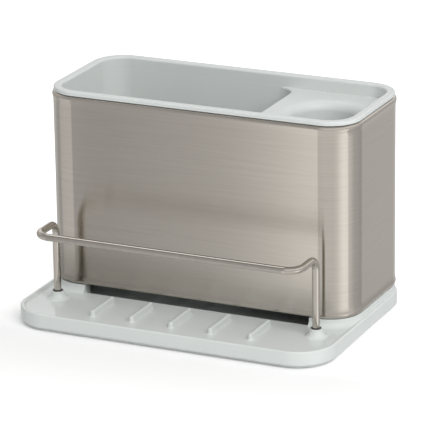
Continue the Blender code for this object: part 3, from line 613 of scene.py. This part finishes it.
def sheet_side(inset):
    """One face of the sheet in section, from the lower turned-in edge to the upper one."""
    low = SLEEVE_BOTTOM
    high = SLEEVE_TOP
    radius = BEAD_RADIUS - inset
    center = BEAD_PROUD - BEAD_RADIUS
    runs_out = BEAD_RADIUS + BEAD_PROUD
    profile = [(BEAD_PROUD * BEAD_FULL_SHARE, runs_out),
               (BEAD_PROUD / 2, runs_out + BEAD_RADIUS / 2),
               (BEAD_PROUD * BEAD_FAINT_SHARE, runs_out + BEAD_RADIUS),
               (0.0, BEAD_HEIGHT)]
    points = [(-FLANGE_WIDTH, low + inset)]
    points += arc((center, low + BEAD_RADIUS), radius, -90, 0, FOLD_STEPS)
    points += [(outward - inset, low + height) for outward, height in profile]
    points += [(outward - inset, high - height) for outward, height in reversed(profile)]
    points += arc((center, high - BEAD_RADIUS), radius, 0, 90, FOLD_STEPS)
    return points + [(-FLANGE_WIDTH, high - inset)]


def steel_sleeve():
    """The sleeve: a flat-sided sheet with a slight bead and a turned-in edge at each end."""
    line = box_line(SLEEVE_HALF_WIDTH, SLEEVE_HALF_DEPTH, SLEEVE_CORNER, SLEEVE_Y)
    section = sheet_side(0.0) + sheet_side(SHEET)[::-1]
    return as_object("steel_sleeve", swept(line, section, steps=SHEET_CORNER_STEPS))


# The caddy

def tub_line(inset=0.0, ease=0.0):
    """The line of the caddy's walls, moved inward."""
    return box_line(TUB_HALF_WIDTH - inset, TUB_HALF_DEPTH - inset, TUB_CORNER - inset + ease,
                    SLEEVE_Y)


def cell_line(inset, divider_inset, ease=0.0):
    """The deep compartment's line, ended by the divider with its own corners."""
    right = DIVIDER_X + DIVIDER_THICKNESS - divider_inset
    half_depth = TUB_HALF_DEPTH - inset
    return (inset - TUB_HALF_WIDTH, right, SLEEVE_Y - half_depth, SLEEVE_Y + half_depth,
            TUB_CORNER - inset + ease, CELL_CORNER + DIVIDER_THICKNESS - divider_inset + ease)


def caddy_rim():
    """The rim that rests on the sleeve, with the short wall that hangs from it."""
    outer = TUB_INSET - RIM_INSET
    buried = SHELF_TOP - SHELF_THICKNESS / 2
    section = [(0.0, buried), (0.0, RIM_BOTTOM), (outer - RIM_CHAMFER, RIM_BOTTOM),
               (outer, RIM_BOTTOM + RIM_CHAMFER)]
    section += arc((outer - RIM_ROUND, RIM_TOP - RIM_ROUND), RIM_ROUND, 0, 90)
    section += arc((RIM_INNER_ROUND - TUB_WALL, RIM_TOP - RIM_INNER_ROUND), RIM_INNER_ROUND,
                   90, 180, FOLD_STEPS)
    section += [(-TUB_WALL, buried)]
    return swept(tub_line(), section)


def shelf_plate():
    """The level plate, its edge buried in the short wall."""
    return slab(tub_line(TUB_WALL / 2, OVERLAP), SHELF_TOP - SHELF_THICKNESS, SHELF_TOP,
                OTHER_CORNER_STEPS)


def shelf_edge_cutter():
    """Rounds the shelf where it drops into the deep compartment."""
    start = SHELF_EDGE_ROUND - FACE_STEP
    section = [(-OVERLAP, SHELF_TOP - SHELF_EDGE_ROUND)]
    section += arc((start, SHELF_TOP - SHELF_EDGE_ROUND), SHELF_EDGE_ROUND, 180, 90)
    section += [(start, SHELF_TOP + OVERLAP), (-OVERLAP, SHELF_TOP + OVERLAP)]
    line = cell_line(TUB_WALL + FACE_STEP, DIVIDER_THICKNESS, -EASE)
    ring = swept(line, section, steps=OTHER_CORNER_STEPS)
    keep = slab(tub_line(TUB_WALL + EASE, OVERLAP), TUB_BOTTOM, RIM_TOP)
    return lifted(moulded("shelf_edge", ring, [("INTERSECT", keep)]))


def tub_shape(inset, divider_inset, bottom, top, rounding, ease=0.0):
    """The drafted inside or outside of the deep compartment, round at the edge of its floor."""
    section = [(0.0, top)]
    section += arc((-TUB_DRAFT - rounding, bottom + rounding), rounding, 0, -90, FOLD_STEPS)
    return swept(cell_line(inset, divider_inset, ease), section, closed=False)


def cup_floor_edge(radius, bottom):
    """The rounded edge of the cup's floor, after the draft of its wall."""
    center = (radius - CUP_DRAFT - CUP_FLOOR_ROUND, bottom + CUP_FLOOR_ROUND)
    return arc(center, CUP_FLOOR_ROUND, 0, -90)


def cup_outside():
    """The outside of the cup under the shelf."""
    outside = CUP_RADIUS + CUP_WALL
    shoulder = outside + CUP_LIP / 2
    bottom = SHELF_TOP - CUP_DEPTH - TUB_FLOOR
    profile = [(0.0, SHELF_TOP - OVERLAP), (shoulder, SHELF_TOP - OVERLAP),
               (shoulder, SHELF_TOP - SHELF_THICKNESS - OVERLAP),
               (outside, SHELF_TOP - CUP_LIP - CUP_WALL)]
    profile += cup_floor_edge(outside, bottom)
    return turned(profile + [(0.0, bottom)], (CUP_X, SLEEVE_Y), CUP_TURN)


def cup_inside():
    """The hollow of the cup with its soft lip."""
    bottom = SHELF_TOP - CUP_DEPTH
    lip = CUP_RADIUS + CUP_LIP
    profile = [(0.0, SHELF_TOP + OVERRUN), (lip, SHELF_TOP + OVERRUN)]
    profile += arc((lip, SHELF_TOP - CUP_LIP + FACE_STEP), CUP_LIP, 90, 180, CUP_LIP_STEPS)
    profile += cup_floor_edge(CUP_RADIUS, bottom)
    return turned(profile + [(0.0, bottom)], (CUP_X, SLEEVE_Y), CUP_HOLLOW_TURN)


def drain_openings():
    """Slots through the deep compartment's floor, and holes through the cup's."""
    cutters = []
    half = SLOT_WIDTH / 2
    nose = half - FACE_STEP
    length = SLOT_LENGTH_SHARE * TUB_HALF_DEPTH
    pitch_x = SLOT_PITCH_X_SHARE * TUB_LENGTH
    pitch_y = SLOT_PITCH_Y_SHARE * 2 * TUB_HALF_DEPTH
    for column in range(SLOT_COLUMNS):
        x = DIVIDER_X - TUB_LENGTH / 2 + (column - (SLOT_COLUMNS - 1) / 2) * pitch_x
        for row in range(SLOT_ROWS):
            y = SLEEVE_Y + (row - (SLOT_ROWS - 1) / 2) * pitch_y
            line = (x - half, x + half, y - length, y + length, nose, nose)
            cutters.append(slab(line, TUB_BOTTOM - OVERRUN, TUB_BOTTOM + TUB_FLOOR + OVERLAP,
                                SLOT_CORNER_STEPS))
    floor = SHELF_TOP - CUP_DEPTH
    for index in range(HOLE_COUNT):
        angle = math.tau * index / HOLE_COUNT
        place = (CUP_X + HOLE_CIRCLE * math.cos(angle), SLEEVE_Y + HOLE_CIRCLE * math.sin(angle))
        cutters.append(rod(HOLE_RADIUS, floor - TUB_FLOOR - OVERRUN, floor + OVERLAP, place,
                           HOLE_TURN))
    return cutters


def lift_out_caddy():
    """Rim, deep compartment, shelf and cup as one moulding."""
    outside = tub_shape(FACE_STEP, 0.0, TUB_BOTTOM, SHELF_TOP - OVERLAP,
                        TUB_FLOOR_ROUND + TUB_WALL / 2, EASE)
    inside = tub_shape(TUB_WALL + FACE_STEP, DIVIDER_THICKNESS, TUB_BOTTOM + TUB_FLOOR,
                       SHELF_TOP + OVERLAP, TUB_FLOOR_ROUND)
    added = [shelf_plate(), outside, cup_outside()]
    removed = [inside, shelf_edge_cutter(), cup_inside()] + drain_openings()
    steps = [("UNION", shaped) for shaped in added]
    steps += [("DIFFERENCE", shaped) for shaped in removed]
    return moulded("caddy_moulding", caddy_rim(), steps)


# Finishes

WHITE = (1.0, 1.0, 1.0, 1.0)

# Patterns: turns to the metre along each axis, detail, and a shift that keeps them apart
CLOUD = ((24.0, 24.0, 24.0), 3.0)
FLECK = ((900.0, 900.0, 900.0), 2.0, (0.3, 0.1, 0.2))
SKIN = ((420.0, 420.0, 420.0), 2.0, (0.7, 0.4, 0.9))
FINE_LINES = ((22.0, 22.0, 2400.0), 2.0)
BROAD_LINES = ((9.0, 9.0, 900.0), 2.0, (0.2, 0.5, 0.8))
STEEL_PATCH = ((9.0, 9.0, 14.0), 2.0, (0.9, 0.3, 0.1))
WIRE_MARKS = ((260.0, 260.0, 60.0), 3.0)
WIRE_GRAIN = ((1500.0, 1500.0, 1500.0), 2.0, (0.4, 0.8, 0.2))
RUBBER_GRAIN = ((1300.0, 1300.0, 1300.0), 2.0)

# Moulded plastic: the clouding's share of the tone, the tone's range, what each pattern adds to the
# roughness, and the skin's depth in metres
CLOUD_SHARE = 0.85
PLASTIC_DARKER = 0.965
PLASTIC_LIGHTER = 1.02
CLOUD_ROUGHNESS = 0.06
FLECK_ROUGHNESS = 0.05
SKIN_DEPTH = 0.0000048

# Brushed steel: colours, the fine lines' share, roughness, the turn of its brushing, and the bulge
# in its shading, whose height falls with the square of the distance from the middle
STEEL_SHOWN = (0.60, 0.545, 0.475)
STEEL_DARK = (0.508, 0.470, 0.422, 1.0)
STEEL_LIGHT = (0.636, 0.589, 0.528, 1.0)
# The darkest steel colour is painted shade, laid on low down and on the left
STEEL_PAINTED_SHADE = (0.22, 0.20, 0.17, 1.0)
FINE_SHARE = 0.90
STEEL_ROUGHNESS = 0.163
LINES_ROUGHNESS = 0.02
PATCH_ROUGHNESS = 0.015
BRUSH_TURN = 0.25
BULGE = 0.26

# Painted shade in place of darker reflections, low on the steel and on its left: by height and
# across: from, to, and levels
LOW_PAINTED_SHADE = (0.026, 0.062, 0.58, 0.0)
LEFT_PAINTED_SHADE = (-0.09, 0.05, 1.0, 0.10)

# Drawn wire
WIRE_SHOWN = (0.60, 0.55, 0.49)
WIRE_DARK = (0.50, 0.463, 0.415, 1.0)
WIRE_LIGHT = (0.60, 0.56, 0.505, 1.0)
WIRE_ROUGHNESS = 0.085
MARKS_ROUGHNESS = 0.04
GRAIN_ROUGHNESS = 0.03

# Rubber
RUBBER_LIGHTER = 1.35
RUBBER_GRAIN_ROUGHNESS = 0.12
RUBBER_GRAIN_DEPTH = 0.00004


class Socket:
    """One output of a node; sums and products on it add Math nodes."""

    def __init__(self, nodes, socket):
        self.nodes = nodes
        self.socket = socket

    def __add__(self, other):
        return self.nodes.math("ADD", self, other)

    def __radd__(self, other):
        return self.nodes.math("ADD", other, self)

    def __sub__(self, other):
        return self.nodes.math("SUBTRACT", self, other)

    def __rsub__(self, other):
        return self.nodes.math("SUBTRACT", other, self)

    def __mul__(self, other):
        return self.nodes.math("MULTIPLY", self, other)

    def __rmul__(self, other):
        return self.nodes.math("MULTIPLY", other, self)

    def __truediv__(self, other):
        return self.nodes.math("DIVIDE", self, other)


class Nodes:
    """The node tree of one finish, or of the world."""

    def __init__(self, owner):
        owner.use_nodes = True
        self.tree = owner.node_tree

    def set(self, node, inputs):
        """Sets a node's inputs: a link from a socket, or a plain value."""
        for name, value in inputs.items():
            target = node.inputs[name]
            if isinstance(value, Socket):
                self.tree.links.new(value.socket, target)
            else:
                target.default_value = value

    def add(self, kind, settings=None, inputs=None, output=0):
        """Adds a node, its settings first, and gives one of its outputs."""
        node = self.tree.nodes.new(kind)
        for name, value in (settings or {}).items():
            if name == "stops":
                elements = node.color_ramp.elements
                while len(elements) < len(value):
                    elements.new(0.5)
                for element, (place, color) in zip(elements, value):
                    element.position = place
                    element.color = (*color, 1.0)
            else:
                setattr(node, name, value)
        self.set(node, inputs or {})
        return Socket(self, node.outputs[output])

    def math(self, operation, *values):
        """A Math node."""
        return self.add("ShaderNodeMath", {"operation": operation}, dict(enumerate(values)))

    def place(self, scale, shift):
        """Object coordinates, stretched for one pattern."""
        start = self.add("ShaderNodeTexCoord", output="Object")
        inputs = {"Vector": start, "Scale": scale, "Location": shift}
        return self.add("ShaderNodeMapping", {}, inputs)

    def parts(self, name="Object"):
        """The three parts of a place on the object, or of a direction in the world."""
        start = self.add("ShaderNodeTexCoord", output=name)
        split = self.add("ShaderNodeSeparateXYZ", {}, {0: start})
        return [Socket(self, output) for output in split.socket.node.outputs]

    def noise(self, scale, detail, shift=(0.0, 0.0, 0.0)):
        """Noise from 0 to 1 with a scale for each axis."""
        inputs = {"Vector": self.place(scale, shift), "Scale": 1.0, "Detail": detail}
        return self.add("ShaderNodeTexNoise", {}, inputs, "Fac")

    def mix(self, factor, first, second):
        """A colour between two colours."""
        return self.add("ShaderNodeMix", {"data_type": "RGBA"}, {0: factor, 6: first, 7: second}, 2)

    def fade(self, value, start, end, low, high, kind="LINEAR"):
        """A level that goes from low to high while a value goes from start to end."""
        inputs = {"Value": value, "From Min": start, "From Max": end, "To Min": low, "To Max": high}
        return self.add("ShaderNodeMapRange", {"interpolation_type": kind}, inputs)

    def ramp(self, factor, table, first=0.0, last=1.0, share=1.0):
        """A grey level looked up in a table of places and levels."""
        stops = [((where - first) / (last - first), (level * share,) * 3) for where, level in table]
        return self.add("ShaderNodeValToRGB", {"stops": stops}, {"Fac": factor}, "Color")

    def bump(self, height, distance):
        """A normal tilted by a height."""
        inputs = {"Height": height, "Distance": distance, "Strength": 1.0}
        return self.add("ShaderNodeBump", {}, inputs, "Normal")


def new_finish(name, shown, **inputs):
    """A material with its Principled shader's plain numbers set."""
    made = bpy.data.materials.new(name)
    nodes = Nodes(made)
    shader = nodes.tree.nodes["Principled BSDF"]
    nodes.set(shader, inputs)
    made.diffuse_color = (*shown, 1.0)
    return made, nodes, shader


def shade(color, factor):
    """A colour made darker or lighter, with its alpha."""
    return (*[part * factor for part in color], 1.0)


def moulded_plastic(name, color, roughness):
    """Pale moulded plastic: faint clouding, uneven gloss, and a fine orange-peel skin."""
    made, nodes, shader = new_finish(name, color, IOR=1.5)
    cloud = nodes.noise(*CLOUD)
    fleck = nodes.noise(*FLECK)
    skin = nodes.noise(*SKIN)
    tone = cloud * CLOUD_SHARE + fleck * (1.0 - CLOUD_SHARE)
    evenly = roughness - (CLOUD_ROUGHNESS + FLECK_ROUGHNESS) / 2
    nodes.set(shader, {
        "Base Color": nodes.mix(tone, shade(color, PLASTIC_DARKER), shade(color, PLASTIC_LIGHTER)),
        "Roughness": cloud * CLOUD_ROUGHNESS + fleck * FLECK_ROUGHNESS + evenly,
        "Normal": nodes.bump(skin, SKIN_DEPTH)})
    return made


def brushed_steel():
    """Sheet steel brushed round the sleeve: fine level lines, sharp across them, a bulge, and
    painted shade low down and on the left.
    """
    made, nodes, shader = new_finish("brushed_steel", STEEL_SHOWN, Metallic=1.0, Anisotropic=1.0)
    lines = nodes.noise(*FINE_LINES) * FINE_SHARE + nodes.noise(*BROAD_LINES) * (1.0 - FINE_SHARE)
    patch = nodes.noise(*STEEL_PATCH)
    color = nodes.mix(lines, STEEL_DARK, STEEL_LIGHT)
    across, _, height = nodes.parts()
    # Painted shade: the colour darkens toward the bottom and toward the left, in place of darker
    # reflections there
    low = nodes.fade(height, *LOW_PAINTED_SHADE, "SMOOTHSTEP")
    left = nodes.fade(across, *LEFT_PAINTED_SHADE)
    nodes.set(shader, {
        "Anisotropic Rotation": BRUSH_TURN,
        "Base Color": nodes.mix(low * left, color, STEEL_PAINTED_SHADE),
        "Roughness": lines * LINES_ROUGHNESS + patch * PATCH_ROUGHNESS + STEEL_ROUGHNESS,
        "Normal": nodes.bump(across * across * -BULGE, 1.0)})
    return made


def drawn_wire():
    """Drawn wire: polished, with faint marks along it."""
    made, nodes, shader = new_finish("drawn_wire", WIRE_SHOWN, Metallic=1.0)
    marks = nodes.noise(*WIRE_MARKS)
    grain = nodes.noise(*WIRE_GRAIN)
    nodes.set(shader, {
        "Base Color": nodes.mix(marks, WIRE_DARK, WIRE_LIGHT),
        "Roughness": marks * MARKS_ROUGHNESS + grain * GRAIN_ROUGHNESS + WIRE_ROUGHNESS})
    return made


def soft_rubber(name, color, roughness):
    """Matt rubber with a fine grain."""
    made, nodes, shader = new_finish(name, color)
    grain = nodes.noise(*RUBBER_GRAIN)
    nodes.set(shader, {
        "Base Color": nodes.mix(grain, shade(color, 1.0), shade(color, RUBBER_LIGHTER)),
        "Roughness": grain * RUBBER_GRAIN_ROUGHNESS + roughness,
        "Normal": nodes.bump(grain, RUBBER_GRAIN_DEPTH)})
    return made


# Pieces in the frame

tray_plastic = moulded_plastic("tray_plastic", color=(0.647, 0.676, 0.662), roughness=0.11)
caddy_plastic = moulded_plastic("caddy_plastic", color=(0.628, 0.655, 0.643), roughness=0.315)
steel = brushed_steel()
wire = drawn_wire()
bush_rubber = soft_rubber("bush_rubber", color=(0.075, 0.075, 0.075), roughness=0.45)
foot_rubber = soft_rubber("foot_rubber", color=(0.28, 0.29, 0.29), roughness=0.62)

dressed(drip_tray(), tray_plastic, "tray", ["drip_tray"])
for spot, place in foot_places().items():
    dressed(foot_pad("pad_" + spot, place), foot_rubber, "tray", ["foot_" + spot])
for side, spot in ((-1, "left"), (1, "right")):
    dressed(rail_bush("bush_" + spot, side), bush_rubber, "tray", ["rail_bush_" + spot])
dressed(wire_rail(), wire, "rail", ["rail"])
dressed(steel_sleeve(), steel, "sleeve", ["sleeve"])
dressed(lift_out_caddy(), caddy_plastic, "caddy", ["caddy"])


# Studio

# The floor's size and white, and the glow that the camera sees on it: from, to, and levels, by the
# distance from the tray, by the place from front to back, and where that second glow ends
STAGE_SIZE = 6.0
STAGE_WHITE = (0.86, 0.86, 0.86, 1.0)
GLOW_AWAY = (0.0, 0.35, 0.105, 0.50)
GLOW_BEHIND = (-0.09, 0.02, 0.0, 0.45)
CLOSE_BY = (0.18, 0.50, 1.0, 0.0)

# Levels that polished faces see, by the angle from the front toward the right, in degrees
HALF_TURN = 180
PANELS = [(-180, 0.64), (-125, 0.62), (-112, 0.46), (-84, 0.62), (-62, 0.75), (-36, 0.78),
          (-33.6, 0.70), (-32, 0.52), (-30.5, 0.48), (-27, 0.56), (-23, 0.63), (-20.5, 0.76),
          (-18.5, 0.94), (-16, 1.28), (-13.5, 0.88), (-11, 0.83), (35, 0.83), (46, 0.95),
          (58, 1.30), (64, 1.45), (90, 1.25), (109, 1.00), (112.5, 0.62), (134, 0.54),
          (148, 0.46), (155, 0.46), (158, 0.66), (180, 0.66)]

# Levels overhead by the sine of the height above the horizon: ahead, toward the right, and behind
CEILING = [(0.0, 0.42), (0.15, 0.50), (0.35, 0.55), (0.55, 0.44), (0.75, 0.36), (0.92, 0.36),
           (1.0, 0.42)]
SIDE_CEILING = [(0.0, 0.60), (0.30, 0.62), (0.50, 1.15), (0.75, 1.00), (0.92, 0.45), (1.0, 0.42)]
BACK_CEILING = [(0.0, 0.55), (0.12, 0.62), (0.28, 1.05), (0.45, 0.95), (0.65, 0.45), (0.90, 0.34),
                (1.0, 0.42)]

# How far the side's and the back's ceilings take over, by the same angle as the panels
TO_SIDE = [(-180, 0.0), (-125, 0.30), (-100, 0.30), (-60, 0.0), (-16, 0.0), (6, 1.0), (148, 1.0),
           (155, 0.0)]
TO_BACK = [(-180, 1.0), (-140, 1.0), (-125, 0.0), (150, 0.0), (156, 1.0)]

# How the panels give way to the ceilings toward the horizon, by the sine of the height
TO_CEILING = (-0.24, 0.0, 0.0, 1.0)

# Strengths: of the tables, which are stored below 1, and of the light on matt surfaces
TABLE_STRENGTH = 2.0
DIFFUSE_LEVEL = 0.55

# Lamps' aim, and the camera: place in metres, angles in degrees, lens and sensor in millimetres
LAMP_AIM = (0.0, 0.0, 0.06)
CAMERA_PLACE = (0.9543, -2.03495, 0.8315)
CAMERA_YAW = 25.065
CAMERA_PITCH = 18.510
CAMERA_ROLL = -0.845
CAMERA_LENS = 274.19
CAMERA_SENSOR = 36.0
CAMERA_REACH = 20.0


def studio_floor():
    """A white floor that shows the shadow to the camera, and lets metal see the studio."""
    shaped = bmesh.new()
    bmesh.ops.create_grid(shaped, x_segments=1, y_segments=1, size=STAGE_SIZE)
    obj = as_object("studio_floor", shaped)
    made = bpy.data.materials.new("studio_floor")
    nodes = Nodes(made)
    nodes.tree.nodes.remove(nodes.tree.nodes["Principled BSDF"])
    across, along, _ = nodes.parts()
    squares = []
    for part, half in ((across, TRAY_HALF_WIDTH), (along, TRAY_HALF_DEPTH)):
        beyond = nodes.math("MAXIMUM", nodes.math("ABSOLUTE", part) - half, 0.0)
        squares.append(beyond * beyond)
    distance = nodes.math("SQRT", squares[0] + squares[1])
    away = nodes.fade(distance, *GLOW_AWAY, "SMOOTHSTEP")
    behind = nodes.fade(along, *GLOW_BEHIND) * nodes.fade(distance, *CLOSE_BY)
    matt = nodes.add("ShaderNodeBsdfDiffuse", {}, {"Color": STAGE_WHITE})
    glow = nodes.add("ShaderNodeEmission", {}, {"Color": WHITE, "Strength": away + behind})
    clear = nodes.add("ShaderNodeBsdfTransparent", {}, {"Color": WHITE})
    camera = nodes.add("ShaderNodeLightPath", output="Is Camera Ray")
    glossy = nodes.add("ShaderNodeLightPath", output="Is Glossy Ray")
    lit = nodes.add("ShaderNodeAddShader", {}, {0: matt, 1: glow})
    seen = nodes.add("ShaderNodeMixShader", {}, {0: camera, 1: matt, 2: lit})
    final = nodes.add("ShaderNodeMixShader", {}, {0: glossy, 1: seen, 2: clear})
    nodes.set(nodes.tree.nodes["Material Output"], {"Surface": final})
    obj.data.materials.append(made)


def studio_world():
    """White to the camera, a plain level for matt surfaces, and soft panels for metal to mirror."""
    world = bpy.data.worlds.new("studio")
    bpy.context.scene.world = world
    nodes = Nodes(world)
    x, y, z = nodes.parts("Generated")
    depth = nodes.math("SQRT", 1.0 - x * x)
    sign = nodes.math("SIGN", y)
    place = nodes.math("ARCTAN2", x, sign * depth * -1.0) / math.tau + 0.5
    around = {"first": -HALF_TURN, "last": HALF_TURN}
    share = 1.0 / TABLE_STRENGTH
    panels = nodes.ramp(place, PANELS, share=share, **around)
    front = nodes.ramp(z, CEILING, share=share)
    side = nodes.ramp(z, SIDE_CEILING, share=share)
    back = nodes.ramp(z, BACK_CEILING, share=share)
    above = nodes.mix(nodes.ramp(place, TO_SIDE, **around), front, side)
    above = nodes.mix(nodes.ramp(place, TO_BACK, **around), above, back)
    studio = nodes.mix(nodes.fade(z, *TO_CEILING), panels, above)
    camera = nodes.add("ShaderNodeLightPath", output="Is Camera Ray")
    glossy = nodes.add("ShaderNodeLightPath", output="Is Glossy Ray")
    clear = nodes.add("ShaderNodeLightPath", output="Is Transmission Ray")
    mirrored = nodes.math("MAXIMUM", glossy, clear)
    strength = (mirrored * (TABLE_STRENGTH - DIFFUSE_LEVEL) + camera * (1.0 - DIFFUSE_LEVEL)
                + DIFFUSE_LEVEL)
    nodes.set(nodes.tree.nodes["Background"], {"Color": nodes.mix(mirrored, WHITE, studio),
                                               "Strength": strength})


def soft_lamp(name, place, size, power, glossy=False):
    """A round soft lamp turned toward the object."""
    light = bpy.data.lights.new(name, "AREA")
    light.shape = "DISK"
    light.size = size
    light.energy = power
    obj = bpy.data.objects.new(name, light)
    obj.location = place
    obj.rotation_mode = "QUATERNION"
    obj.rotation_quaternion = (Vector(LAMP_AIM) - Vector(place)).to_track_quat("-Z", "Y")
    obj.visible_glossy = glossy
    bpy.context.scene.collection.objects.link(obj)


def studio_camera():
    """A long lens to the front right, above the rim and turned down to the object."""
    yaw, pitch, roll = [math.radians(angle) for angle in (CAMERA_YAW, CAMERA_PITCH, CAMERA_ROLL)]
    forward = Vector((-math.sin(yaw) * math.cos(pitch), math.cos(yaw) * math.cos(pitch),
                      -math.sin(pitch)))
    right = Vector((math.cos(yaw), math.sin(yaw), 0.0))
    up = right.cross(forward)
    tilted_right = right * math.cos(roll) + up * math.sin(roll)
    tilted_up = up * math.cos(roll) - right * math.sin(roll)
    turn = Matrix((tilted_right, tilted_up, -forward)).transposed().to_4x4()
    lens = bpy.data.cameras.new("studio_camera")
    lens.lens = CAMERA_LENS
    lens.sensor_width = CAMERA_SENSOR
    lens.clip_end = CAMERA_REACH
    obj = bpy.data.objects.new("studio_camera", lens)
    obj.matrix_world = Matrix.Translation(CAMERA_PLACE) @ turn
    bpy.context.scene.collection.objects.link(obj)
    bpy.context.scene.camera = obj


studio_floor()
studio_world()
soft_lamp("key", place=(1.22, -0.98, 1.42), size=1.6, power=29.5)
soft_lamp("top_panel", place=(-0.85, 0.32, 1.90), size=0.8, power=2.2, glossy=True)
studio_camera()
bpy.context.scene.view_settings.view_transform = "Standard"
